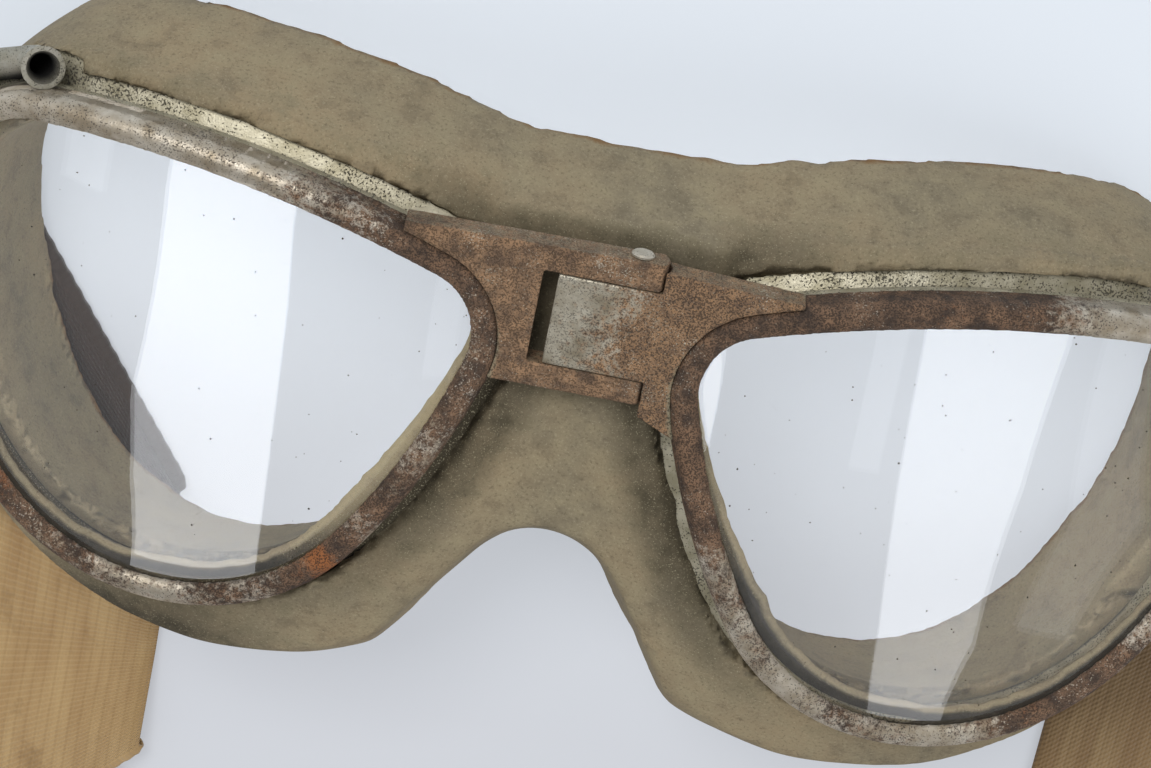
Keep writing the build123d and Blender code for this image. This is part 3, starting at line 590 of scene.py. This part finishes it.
# %% Rubber mask
face_radius = 154.0 * mm
face_axis_x = home.x
face_axis_z = home.z - 21.5 * mm - face_radius
web_edge_left = home.x - 9.0 * mm
web_edge_right = home.x + 14.5 * mm
web_middle = home.x + 2.5 * mm
mask = copy_of("cushion_bridge", "face_mask")
others = [copy_of("cushion_left", "left_lobe"), copy_of("cushion_right", "right_lobe")]
points = read_points(mask)
points[np.abs(points[:, 0] - web_edge_left) < 0.02 * mm, 0] -= 0.6 * mm
points[np.abs(points[:, 0] - web_edge_right) < 0.02 * mm, 0] += 0.9 * mm
write_points(mask, points)
select_only(mask, *others)
bpy.ops.object.join()
voxel_remesh(mask, 0.85 * mm)
soften(mask, 5)
web = mask.vertex_groups.new(name="web")
points = read_points(mask)
for index in np.nonzero(np.abs(points[:, 0] - web_middle) < 26 * mm)[0]:
    web.add([int(index)], 1.0, "REPLACE")
soften(mask, 14, group="web")
points = read_points(mask)
depth = np.hypot(points[:, 0] - face_axis_x, points[:, 2] - face_axis_z) - face_radius
rear = np.clip(1 - depth / (2.5 * mm), 0, 1)
rear_edge = np.clip((1.3 * mm - depth) / (0.9 * mm), -9, 2)
bites = np.clip(lumps(points, 4.5 * mm, 5.0) - 0.25, 0, 1) * -1.6 * mm
nibble = bites + lumps(points, 7 * mm, 8.0) * 0.3 * mm + lumps(points, 1.3 * mm, 2.0) * 0.16 * mm
wave = lumps(points, 9 * mm, 1.0) * 0.25 * mm
write_points(mask, points + read_normals(mask) * (wave + nibble * rear)[:, None])
smooth_shading(mask)


# %% [markdown]
# Dirt and painted shade lie in the corner between rubber and metal, most of all beside the bridge, and
# painted shade darkens the left cheek.
# Inside each eye a black line runs where the rubber wall meets the metal cup. The wall is told from the
# lip outside the metal by its distance from the eye's middle, next to the edge of the lens.

# %% Dirt on the mask
def sectors(offsets):
    """Which of 72 directions each offset points in."""
    return (np.degrees(np.arctan2(offsets[:, 1], offsets[:, 0])) % 360 // 5).astype(int)


points = read_points(mask)
metal = surface_tree("eye_cup_left", "eye_cup_right", "bridge_fork", "bridge_tongue", "rim_left",
                     "rim_right")
# Dirt and painted shade: the rubber is darker near the metal, most of all beside the bridge.
corner_dirt_and_shade = nearness(points, metal, 6.5 * mm) ** 0.9
bridge_side = np.clip(1.6 - np.abs(points[:, 0] - home.x - 2 * mm) / (26 * mm), 0.4, 1.05)
# Painted shade on the left cheek, which faces away from the light; it darkens the rubber through the dirt
# attribute.
left_cheek_shade = (np.clip((home.x - 22 * mm - points[:, 0]) / (25 * mm), 0, 1)
              * np.clip((home.y - 28 * mm - points[:, 1]) / (12 * mm), 0, 1))
wall = np.zeros(len(points))
for side in ("left", "right"):
    centre = np.array(eye_centre(side)[:2])
    from_eye = points[:, :2] - centre
    facing_in = (from_eye * read_normals(mask)[:, :2]).sum(1) < 0
    from_lens = np.array([v.co[:2] for v in cad["lens_" + side].data.vertices]) - centre
    lens_reach = np.array([np.hypot(*from_lens[sectors(from_lens) == k].T).max() for k in range(72)])
    wall[facing_in & (np.hypot(*from_eye.T) < lens_reach[sectors(from_eye)] + 3 * mm)] = 1.35
touching = np.sqrt(nearness(points, metal, 2.2 * mm))
# Dirt with painted shade in the corners, and the real black line inside each eye.
dirt = np.maximum(corner_dirt_and_shade * bridge_side, wall * touching)
write_points(mask, points + read_normals(mask) * (0.35 * mm * (wall > 0) * touching)[:, None])
set_attribute(mask, "dirt", np.maximum(dirt, left_cheek_shade))
set_attribute(mask, "lip", np.zeros(len(points)))
set_attribute(mask, "edge", rear_edge)
dress(mask, rubber)
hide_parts("cushion_left", "cushion_bridge", "cushion_right")
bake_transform(mask)
print("mask", len(mask.data.polygons), "faces")

# %% [markdown]
# Inside each eye the rubber is turned in under the glass as a thin lip. It is widest beside the nose,
# where its edge has gone yellow and ragged, and black dirt sits between it and the bead. A ray from the
# middle of the eye finds the edge of the glass in each direction, and the lip's section is set there.

# %% Inner lips
def inner_lip(side, widths, soil):
    """Turned-in lip under a lens; widths are by degree, in millimetres, and soil is dirt by degree."""
    centre = eye_centre(side)
    lens = surface_tree("lens_" + side)
    count = 240
    edges = []
    for k in range(count):
        out = Vector((math.cos(math.tau * k / count), math.sin(math.tau * k / count), 0))
        reach = 44 * mm
        while reach > 20 * mm:
            found = lens.ray_cast(Vector((centre.x, centre.y, 0)) + out * reach, Vector((0, 0, 1)))
            if found[0] is not None:
                break
            reach -= 0.1 * mm
        edges.append((reach, found[0].z))
    edges = np.array(edges)
    for _ in range(6):
        edges = (np.roll(edges, 1, 0) + 2 * edges + np.roll(edges, -1, 0)) / 4
    rings, dirts, tips = [], [], []
    for k in range(count):
        angle = math.tau * k / count
        out = Vector((math.cos(angle), math.sin(angle), 0))
        degrees = math.degrees(angle)
        width = np.interp(degrees, [w[0] for w in widths], [w[1] for w in widths])
        if width > 2.0:
            width += 0.3 * noise.noise(out * 9 + Vector((3, 1, 0))) + 0.3 * noise.noise(out * 40)
        black = float(np.interp(degrees, [w[0] for w in soil], [w[1] for w in soil]))
        reach = edges[k, 0]
        top = edges[k, 1] - 0.4 * mm
        # Each row is a step outwards, a drop, a share of the dirt and a share of the yellowed tip.
        section = ((0.9, -0.3, 1.0, 0.0), (-0.2, -0.4, 1.0, 0.0), (-0.45 * width, -0.6, 1.0, 0.2),
                   (-0.62 * width, -0.8, 0.95, 0.3), (-0.78 * width, -1.0, 0.3, 0.6),
                   (-width, -1.5, 0.0, 1.0), (-0.92 * width, -2.2, 0.0, 0.8),
                   (-0.55 * width, -2.8, 0.15, 0.4), (0.2, -3.3, 0.8, 0.1), (1.4, -3.7, 1.0, 0.0),
                   (2.2, -3.2, 1.0, 0.0), (2.0, -1.5, 1.0, 0.0))
        for step, drop, dirty, tip in section:
            place = Vector((centre.x, centre.y, 0)) + out * (reach + step * mm)
            rings.append((place.x, place.y, top + drop * mm))
            dirts.append(dirty * black)
            tips.append((0.35 + 0.65 * tip * min(1.0, width / 3.0)) * (1.2 - 0.7 * min(1.3, black)))
    part = len(rings) // count
    faces = []
    for k in range(count):
        for j in range(part):
            a, b = k * part + j, k * part + (j + 1) % part
            c, d = ((k + 1) % count) * part + (j + 1) % part, ((k + 1) % count) * part + j
            faces.append((a, b, c, d))
    obj = shell_object("inner_lip_" + side, rings, faces)
    set_attribute(obj, "dirt", dirts)
    set_attribute(obj, "lip", tips)
    set_attribute(obj, "edge", np.full(len(rings), -9.0))
    soften(obj, 2)
    smooth_shading(obj)
    dress(obj, rubber)
    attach(obj, side + "_frame")
    print(obj.name, len(faces), "faces")


inner_lip("left",
          ((0, 3.0), (14, 2.6), (30, 1.0), (60, 0.9), (120, 1.2), (200, 2.4), (255, 2.7), (300, 2.7),
           (318, 3.0), (340, 3.3), (360, 3.0)),
          ((0, 0.2), (30, 0.5), (180, 0.8), (215, 1.4), (300, 1.4), (325, 0.7), (360, 0.2)))
inner_lip("right",
          ((0, 1.9), (60, 1.2), (90, 0.9), (130, 0.8), (150, 1.0), (165, 1.9), (180, 2.6), (197, 3.2),
           (215, 3.8), (235, 3.4), (262, 2.8), (340, 2.4), (360, 1.9)),
          ((0, 0.9), (60, 0.4), (160, 0.4), (195, 1.0), (215, 1.45), (345, 1.45), (360, 0.9)))

# %% [markdown]
# The strap lies on the table in flat runs. Where it turns a corner it is folded along a slanting line,
# over a tight half-round crease, and comes back one layer higher. Each run is a grid of points between
# two such lines. The fold turns the webbing over, so the side that was left comes out right. A run's
# levels say how many layers above the table it lies at each distance from its start, in millimetres.

# %% Webbing builder
strap_half = 17.5 * mm
strap_thickness = 1.4 * mm
layer = 1.55 * mm
mid_height = 0.75 * mm
columns = 93
across = np.linspace(-strap_half, strap_half, columns)
row_step = 1.6 * mm


def flat(x, y):
    """Point on the table, from millimetres about the bridge."""
    return np.array((home.x + x * mm, home.y + y * mm))


def unit(vector):
    """The same direction with length 1."""
    vector = np.asarray(vector, float)
    return vector / np.linalg.norm(vector)


def left_of(heading):
    """Direction to the left of a heading."""
    return np.array((-heading[1], heading[0]))


def run_rows(start, end, first_line, last_line, levels, flip):
    """Grid rows of a flat run; levels are distances and layers above the table."""
    heading = unit(end - start)
    side = left_of(heading)
    begin = start + np.outer(across * flip / np.dot(first_line, side), first_line)
    finish = end + np.outer(across * flip / np.dot(last_line, side), last_line)
    count = max(4, int(np.linalg.norm(end - start) / row_step))
    rows = []
    for share in np.linspace(0, 1, count):
        plan = begin + (finish - begin) * share
        along = (plan - start) @ heading
        height = np.interp(along, [v[0] * mm for v in levels], [v[1] for v in levels])
        rows.append(np.column_stack((plan, mid_height + height * layer)))
    return rows


def crease_rows(place, before, after, flip, base=0.0, step=1.0):
    """Grid rows of the half-round crease between two runs, up one layer or down one."""
    line = unit(before + after)
    out = unit(before - after)
    spread = across * flip / np.dot(line, left_of(before))
    radius = layer / 2
    rows = []
    for angle in np.linspace(0, math.pi, 9)[1:-1]:
        plan = place + np.outer(spread, line) + out * radius * math.sin(angle)
        rise = np.full(columns, mid_height + base * layer + step * radius * (1 - math.cos(angle)))
        rows.append(np.column_stack((plan, rise)))
    return rows


def path_rows(points, side, flip):
    """Grid rows along a chain of points in the air, with the webbing's width along one direction."""
    side = np.array((side[0], side[1], 0.0))
    chain = np.array(points)
    lengths = np.concatenate(([0], np.cumsum(np.linalg.norm(np.diff(chain, axis=0), axis=1))))
    count = max(6, int(lengths[-1] / (row_step * 0.5)))
    places = np.linspace(0, lengths[-1], count)
    fine = np.column_stack([np.interp(places, lengths, chain[:, k]) for k in range(3)])
    for _ in range(3):
        fine[1:-1] = (fine[:-2] + 2 * fine[1:-1] + fine[2:]) / 4
    return [p + np.outer(across * flip, side) for p in fine]


def weave(name, rows, offset=0.0, shadow_line=None):
    """Webbing from grid rows: thickness, ribs along it, a UV map in metres and a painted shadow towards
    the brow.
    """
    grid = np.array(rows)
    along = np.gradient(grid, axis=0)
    over = np.gradient(grid, axis=1)
    normal = np.cross(along, over)
    normal /= np.maximum(np.linalg.norm(normal, axis=2), 1e-12)[:, :, None]
    mid = grid[:, columns // 2]
    travelled = np.concatenate(([0], np.cumsum(np.linalg.norm(np.diff(mid, axis=0), axis=1))))
    count = len(grid)
    half = strap_thickness / 2
    rib = 0.07 * mm * np.cos(across * math.tau / rib_pitch)
    edge = np.clip((strap_half - np.abs(across)) / (0.8 * mm), 0.25, 1)
    rise = normal * ((half + rib) * edge)[None, :, None]
    shell = np.concatenate(((grid + rise).reshape(-1, 3), (grid - rise).reshape(-1, 3)))
    index = np.arange(count * columns).reshape(count, columns)
    shift = count * columns
    faces = []
    for i in range(count - 1):
        for j in range(columns - 1):
            a, b, c, d = index[i, j], index[i, j + 1], index[i + 1, j + 1], index[i + 1, j]
            faces.append((a, d, c, b))
            faces.append((a + shift, b + shift, c + shift, d + shift))
        a, d = index[i, 0], index[i + 1, 0]
        faces.append((a, a + shift, d + shift, d))
        b, c = index[i, -1], index[i + 1, -1]
        faces.append((b, c, c + shift, b + shift))
    for j in range(columns - 1):
        a, b = index[0, j], index[0, j + 1]
        faces.append((a, b, b + shift, a + shift))
        a, b = index[-1, j], index[-1, j + 1]
        faces.append((a, a + shift, b + shift, b))
    obj = shell_object(name, shell.tolist(), [[int(k) for k in f] for f in faces])
    flat_uv = np.zeros((2 * shift, 2))
    flat_uv[:, 0] = np.tile(np.tile(across, count), 2)
    flat_uv[:, 1] = np.tile(np.repeat(travelled + offset, columns), 2)
    loops = np.zeros(len(obj.data.loops), int)
    obj.data.loops.foreach_get("vertex_index", loops)
    obj.data.uv_layers.new(name="weave").data.foreach_set("uv", flat_uv[loops].ravel())
    smooth_shading(obj)
    dress(obj, webbing)
    # Painted shadow of the mask on the strap, darker towards the brow between the two lines given.
    shadowed = np.zeros(len(shell))
    if shadow_line is not None:
        clean, dirty, most = shadow_line
        wander = lumps(shell, 5 * mm, 4.0) * 2 * mm
        shadowed = np.interp(shell[:, 1] + wander, [home.y + clean * mm, home.y + dirty * mm], [0.0, most])
    set_attribute(obj, "painted_shadow", shadowed)
    print(name, "length", round(travelled[-1], 4))
    return obj, float(travelled[-1])


def in_air(x, y, z):
    """Point from millimetres about the bridge and above the table."""
    return (home.x + x * mm, home.y + y * mm, z * mm)


# %% [markdown]
# The sewn ends go round the bars of the wire loops, and leads bring the webbing down to the table.
# These repeat the route in the CAD source, and the numbers, in millimetres, keep their names.

# %% Strap ends and leads
loop_x, loop_y, loop_z = 93.382, -3.732, 25.1825
loop_reach = 10.0
end_length = 7.9
left_fold_reach = 24.4
left_fold_drop = 6.3
second_fold_drop = 88.8
hairpin_reach = 12.6
right_fold_reach = 0.6
right_lead_straight = 5.649
run_angle = math.radians(8.0)
table_middle = 0.75
# Where the painted shadow of the mask on the left strap starts, where it is full, and how dark it gets.
under_mask_shadow = (-46.0, -38.0, 1.0)
lean = {"left": 4.0, "right": 68.0}
sign = {"left": -1.0, "right": 1.0}
north, south, west = (np.array(v, float) for v in ((0, 1), (0, -1), (-1, 0)))


def along_loop(side, down, out):
    """Point in a loop's plane: millimetres down the loop from its axis, and out from its plane."""
    angle = math.radians(lean[side])
    x = loop_x + down * math.sin(angle) + out * math.cos(angle)
    z = loop_z - down * math.cos(angle) + out * math.sin(angle)
    return in_air(sign[side] * x, loop_y, z)


def lead_bend(side, straight):
    """Points from a sewn end down to the table."""
    angle = math.radians(lean[side])
    start = loop_reach + end_length - 1.2
    turn_down = loop_reach + end_length + 0.3 + straight
    turn_x = loop_x + turn_down * math.sin(angle)
    turn_z = loop_z - turn_down * math.cos(angle)
    radius = (turn_z - table_middle) / (1 + math.sin(angle))
    centre_x = turn_x - math.cos(angle) * radius
    points = [along_loop(side, start, 0.0), along_loop(side, turn_down, 0.0)]
    for share in np.linspace(0.1, 1, 10):
        here = angle + (-math.pi / 2 - angle) * share
        points.append(in_air(sign[side] * (centre_x + radius * math.cos(here)), loop_y,
                             table_middle + radius + radius * math.sin(here)))
    return points, centre_x


def sewn_end(side):
    """Doubled end of the strap round a loop's bar."""
    wrap = 2.15
    doubled = ((end_length, 0.72), (5.0, 0.74), (2.4, 1.6))
    points = [along_loop(side, loop_reach + down, -out) for down, out in doubled]
    for angle in np.radians(np.linspace(200, -20, 14)):
        points.append(along_loop(side, loop_reach - wrap * math.sin(angle), wrap * math.cos(angle)))
    points += [along_loop(side, loop_reach + down, out) for down, out in reversed(doubled)]
    obj, length = weave("strap_end_" + side + "_sewn", path_rows(points, north, 1.0))
    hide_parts("strap_end_" + side)
    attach(obj, side + "_strap_loop")


for side in ("left", "right"):
    sewn_end(side)

bend, edge_x = lead_bend("left", 0.0)
first = flat(left_fold_reach - loop_x, loop_y - left_fold_drop)
start = flat(-edge_x, loop_y)
inwards = unit(first - start)
fold_1 = unit(inwards + south)
rows = path_rows(bend, north, 1.0)
rows += run_rows(start, first, north, fold_1, ((0, 0), (99, 0)), 1.0)[1:]
strap_left_lead, length = weave("strap_left_lead", rows, shadow_line=under_mask_shadow)
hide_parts("strap_left")
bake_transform(strap_left_lead)

# %% [markdown]
# The left half runs down beside the cheek, is folded outwards at the lower corner, turns back on itself
# in a hairpin and runs to the slide, where its hem is sewn round a bar.

# %% Left half of the strap
second = flat(left_fold_reach - loop_x, loop_y - second_fold_drop)
third = flat(-loop_x - hairpin_reach, loop_y - second_fold_drop)
back = np.array((math.cos(run_angle), -math.sin(run_angle)))
slide_y = loop_y - second_fold_drop + (-loop_x - hairpin_reach) * math.tan(run_angle)
slide_middle = flat(0, slide_y)
fold_2 = unit(south + west)
fold_3 = unit(west + back)
rows = crease_rows(first, inwards, south, 1.0)
fall = float(np.linalg.norm(second - first)) / mm
levels = ((0, 1), (17.5, 1), (31.5, 0.2), (fall - 31.5, 0.4), (fall - 18.5, 2), (500, 2))
rows += run_rows(first, second, fold_1, fold_2, levels, -1.0)
rows += crease_rows(second, south, west, -1.0, 2.0, -1.0)
rows += run_rows(second, third, fold_2, fold_3, ((0, 1), (500, 1)), 1.0)
rows += crease_rows(third, west, back, 1.0, 1.0, -1.0)
strap_left_under, length = weave("strap_left_under", rows, shadow_line=under_mask_shadow)
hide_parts("strap_left")
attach(strap_left_under, "left_frame")


def by_slide(x, z):
    """Point in the slide's own upright plane, in millimetres."""
    return (slide_middle[0] + back[0] * x * mm, slide_middle[1] + back[1] * x * mm, z * mm)


hem_reach = 33.0
bar_x, bar_z = -11, 4.15
hem = slide_middle - back * hem_reach * mm
rows = run_rows(third, hem, fold_3, north, ((0, 0), (500, 0)), -1.0)
wrap = [by_slide(-hem_reach, 0.8), by_slide(-22, 0.95), by_slide(-15, 1.7)]
for angle in np.radians(np.linspace(-100, 100, 12)):
    wrap.append(by_slide(bar_x + 1.9 * math.cos(angle), bar_z + 1.8 * math.sin(angle)))
wrap += [by_slide(-14.5, 5.0), by_slide(-19, 2.9), by_slide(-24, 2.45), by_slide(-31, 2.35)]
rows += path_rows(wrap, left_of(back), -1.0)[1:]
strap_left_front, length = weave("strap_left_front", rows)
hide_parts("strap_left")
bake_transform(strap_left_front)

# %% [markdown]
# The right half is folded at the temple and at the lower corner, and is threaded over the slide's middle
# bar. Its last run is a piece of its own, because it follows the slide.

# %% Right half of the strap
bend, edge_x = lead_bend("right", right_lead_straight)
fold_x = loop_x + right_fold_reach
first = flat(fold_x, loop_y)
second = flat(fold_x, slide_y - fold_x * math.tan(run_angle))
fold_1 = unit(west + south)
fold_2 = unit(south - back)
rows = path_rows(bend, north, -1.0)
rows += run_rows(flat(edge_x, loop_y), first, north, fold_1, ((0, 0), (99, 0)), 1.0)[1:]
rows += crease_rows(first, west, south, 1.0)[:4]
strap_right_lead, length = weave("strap_right_lead", rows)
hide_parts("strap_right")
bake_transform(strap_right_lead)

part_at = second - back * 38.0 * mm
rows = crease_rows(first, west, south, 1.0)[3:]
rows += run_rows(first, second, fold_1, fold_2, ((0, 1), (17.5, 1), (31.5, 0), (500, 0)), -1.0)
rows += crease_rows(second, south, -back, -1.0)
levels = ((0, 1), (20.5, 1), (34.5, 0), (500, 0))
rows += run_rows(second, part_at, fold_2, left_of(back), levels, 1.0)
# The right body gets a fainter painted shadow under the mask.
strap_right_body, length = weave("strap_right_body", rows, shadow_line=(-80.0, -30.0, 0.6))
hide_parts("strap_right")
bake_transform(strap_right_body)

entry = slide_middle - back * 4.0 * mm
reach = float(np.linalg.norm(entry - part_at)) / mm - 12.0
levels = ((0, 0), (reach - 44, 0), (reach - 28, 1), (500, 1))
rows = run_rows(part_at, entry, left_of(back), left_of(back), levels, 1.0)
strap_right_run, length = weave("strap_right_run", rows, length)
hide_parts("strap_right")
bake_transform(strap_right_run)

tail_reach = 31
thread_path = [by_slide(x, z) for x, z in (
    (13, 2.32), (8, 2.5), (3.6, 5.6), (0, 5.95), (-3.6, 5.5), (-5.6, 3.2), (-4.6, 0.95), (0, 0.72),
    (tail_reach, 0.72))]
rows = path_rows(thread_path, left_of(back), 1.0)
strap_right_thread, length = weave("strap_right_thread", rows)
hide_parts("strap_right")
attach(strap_right_thread, "strap_slide")


# %% [markdown]
# Rows of waxed thread hold the sewn ends and the hem. A stitch is a short rod with bevelled ends, and the
# rows of one seam are one piece.

# %% Stitches
def stitch_rows(name, body, places):
    """One mesh of stitches, each between two points."""
    made = []
    for start, end in places:
        bpy.ops.mesh.primitive_cylinder_add(vertices=8, radius=0.28 * mm, depth=(end - start).length,
                                            location=(start + end) / 2)
        rod = bpy.context.object
        rod.rotation_mode = "QUATERNION"
        rod.rotation_quaternion = (end - start).to_track_quat("Z", "Y")
        bpy.ops.object.transform_apply(location=False, rotation=True, scale=False)
        edit_whole(rod, bpy.ops.mesh.bevel, offset=0.12 * mm, segments=1)
        made.append(rod)
    obj = join_all(name, made, sewing_thread)
    smooth_shading(obj)
    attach(obj, body)


def stitches_across(point, count=13, reach=15.5):
    """Stitch ends in a row across the webbing."""
    places = []
    pitch = 2 * reach / count
    for k in range(count):
        low = -reach + k * pitch
        places.append((point(low), point(low + pitch * 0.62)))
    return places


for side in ("left", "right"):
    places = []
    for down in (4.2, 6.6):
        for out in (-1.55, 1.55):
            places += stitches_across(
                lambda t: Vector(along_loop(side, loop_reach + down, out)) + Vector((0, t * mm, 0)))
    stitch_rows("stitches_end_" + side, side + "_strap_loop", places)
places = []
for x, z in ((-29.5, 3.15), (-26.0, 3.25)):
    places += stitches_across(
        lambda t: Vector(by_slide(x, z)) + Vector((*(left_of(back) * t * mm), 0)))
stitch_rows("stitches_hem", "strap_slide", places)


# %% [markdown]
# Specks of dry dirt lie on each lens, 130 of them. They are tiny flattened grains on the outer curve.

# %% Specks on the glass
def specks(side, count, seed):
    """Grains of dirt on the front of a lens."""
    draw = random.Random(seed)
    lens = cad["lens_" + side]
    fronts = [p for p in lens.data.polygons if p.normal.z > 0.6]
    made = []
    for _ in range(count):
        face = fronts[draw.randrange(len(fronts))]
        corners = [lens.data.vertices[v].co for v in face.vertices]
        a, b = draw.random(), draw.random()
        if a + b > 1:
            a, b = 1 - a, 1 - b
        spot = corners[0] + (corners[1] - corners[0]) * a + (corners[2] - corners[0]) * b
        size = draw.uniform(0.035, 0.12) * mm
        bpy.ops.mesh.primitive_ico_sphere_add(subdivisions=1, radius=size,
                                              location=spot + face.normal * size * 0.2)
        speck = bpy.context.object
        speck.scale = (draw.uniform(0.7, 1.6), draw.uniform(0.7, 1.6), 0.5)
        made.append(speck)
    obj = join_all("specks_" + side, made, glass_dirt)
    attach(obj, side + "_frame")
    print(obj.name, count)


specks("left", 130, 4)
specks("right", 130, 9)

# %% [markdown]
# The stage is a pale table and soft, even light. The table's colour is painted shade, darker towards the
# chin side, and the table glows that colour for camera, glossy and transmission rays. Long white panels
# stand where the curved glass mirrors them to the camera, which draws the white bands on both lenses.

# %% Stage and light
bpy.ops.mesh.primitive_plane_add(size=6.0, location=(0, 0, -0.02 * mm))
floor = bpy.context.object
floor.name = "floor"
floor_paper, tree, shader = new_material("pale paper")
light_path = add(tree, "LightPath").outputs
seen = calc(tree, "MAXIMUM", light_path["Is Camera Ray"], light_path["Is Glossy Ray"])
seen = calc(tree, "MAXIMUM", seen, light_path["Is Transmission Ray"])
lie = add(tree, "SeparateXYZ", {"Vector": place_in_metres(tree)})
# Painted shade: the paper is darker towards the chin side, and the floor glows this colour for camera,
# glossy and transmission rays.
paper = blend_colour(tree, ramp(tree, lie.outputs["Y"], -0.015, 0.075), "#D3D6DC", "#E4EBF3")
connect(tree, shader, {"Base Color": paper, "Roughness": 0.9})
glow = add(tree, "Emission", {"Color": paper, "Strength": 1.0})
lit = {0: calc(tree, "MULTIPLY", seen, 0.55), 1: shader.outputs[0], 2: glow.outputs[0]}
mixed = add(tree, "MixShader", lit)
connect(tree, tree.nodes["Material Output"], {"Surface": mixed.outputs[0]})
dress(floor, floor_paper)

world = bpy.context.scene.world or bpy.data.worlds.new("world")
bpy.context.scene.world = world
world.use_nodes = True
tree = world.node_tree
connect(tree, tree.nodes["Background"], {"Color": linear("#F4F6FA"), "Strength": 0.62})


def soft_light(name, place, target, width, height, power):
    """Rectangular studio light that the camera does not see."""
    data = bpy.data.lights.new(name, "AREA")
    data.shape = "RECTANGLE"
    data.size = width
    data.size_y = height
    data.energy = power
    obj = put(name, data)
    obj.location = place
    obj.rotation_mode = "QUATERNION"
    obj.rotation_quaternion = (Vector(place) - Vector(target)).to_track_quat("Z", "Y")
    obj.visible_camera = False
    return obj


key = soft_light("key", (-0.35, 0.75, 1.1), (0, 0.03, 0.02), 0.5, 0.5, 8.0)
fill = soft_light("fill", (0.9, -0.3, 0.9), (0, 0.03, 0.02), 0.8, 0.8, 4.0)
lenses = bpy.data.collections.new("what the panels light")
not_lenses = bpy.data.collections.new("what the lamps leave out")
for side in ("left", "right"):
    lenses.objects.link(cad["lens_" + side])
    not_lenses.objects.link(cad["lens_" + side])
for member in not_lenses.collection_objects:
    member.light_linking.link_state = "EXCLUDE"
for lamp in (key, fill):
    lamp.visible_transmission = False
    lamp.light_linking.receiver_collection = not_lenses


def bright_panel(name, eye, edges, strength):
    """Curved white panel, seen only in reflections; edges are a direction's Y part and its two X parts."""
    middle = eye_centre(eye)
    steps = 40
    points, faces = [], []
    for k, y in enumerate(np.linspace(edges[0][0], edges[-1][0], steps)):
        for side in (1, 2):
            x = float(np.interp(-y, [-e[0] for e in edges], [e[side] for e in edges]))
            z = math.sqrt(max(0.0004, 1 - x * x - y * y))
            points.append(middle + Vector((x, y, z)) * panel_distance)
        if k:
            a = 2 * k
            faces.append((a - 2, a - 1, a + 1, a))
    mesh = bpy.data.meshes.new(name)
    mesh.from_pydata([tuple(p) for p in points], [], faces)
    panel = put(name, mesh)
    white, tree, shader = new_material(name + " light")
    connect(tree, shader, {"Base Color": (0, 0, 0, 1), "Emission Color": linear("#F7FAFF"),
                           "Emission Strength": strength})
    dress(panel, white)
    panel.visible_camera = False
    panel.visible_diffuse = False
    panel.visible_shadow = False
    panel.light_linking.receiver_collection = lenses


panel_distance = 0.4
bright_panel("panel_left", "left", ((0.45, -0.545, -0.155), (0.2, -0.54, -0.145), (-0.07, -0.52, -0.115),
                                    (-0.45, -0.5, -0.09), (-0.68, -0.43, -0.075), (-0.875, -0.344, -0.06),
                                    (-0.93, -0.33, -0.05)), 3.9)
bright_panel("panel_right", "right", ((0.45, 0.23, 0.67), (0.2, 0.24, 0.65), (-0.22, 0.25, 0.6),
                                      (-0.68, 0.27, 0.51), (-0.86, 0.265, 0.42), (-0.93, 0.26, 0.34)), 3.0)
bright_panel("panel_left_faint", "left", ((0.4, -0.8, -0.7), (0.1, -0.8, -0.7)), 1.2)
bright_panel("panel_right_faint", "right", ((0.25, 0.09, 0.19), (-0.22, 0.09, 0.185)), 1.1)
bright_panel("panel_right_far", "right", ((0.3, 0.74, 0.86), (-0.3, 0.72, 0.86), (-0.62, 0.6, 0.7)), 1.1)
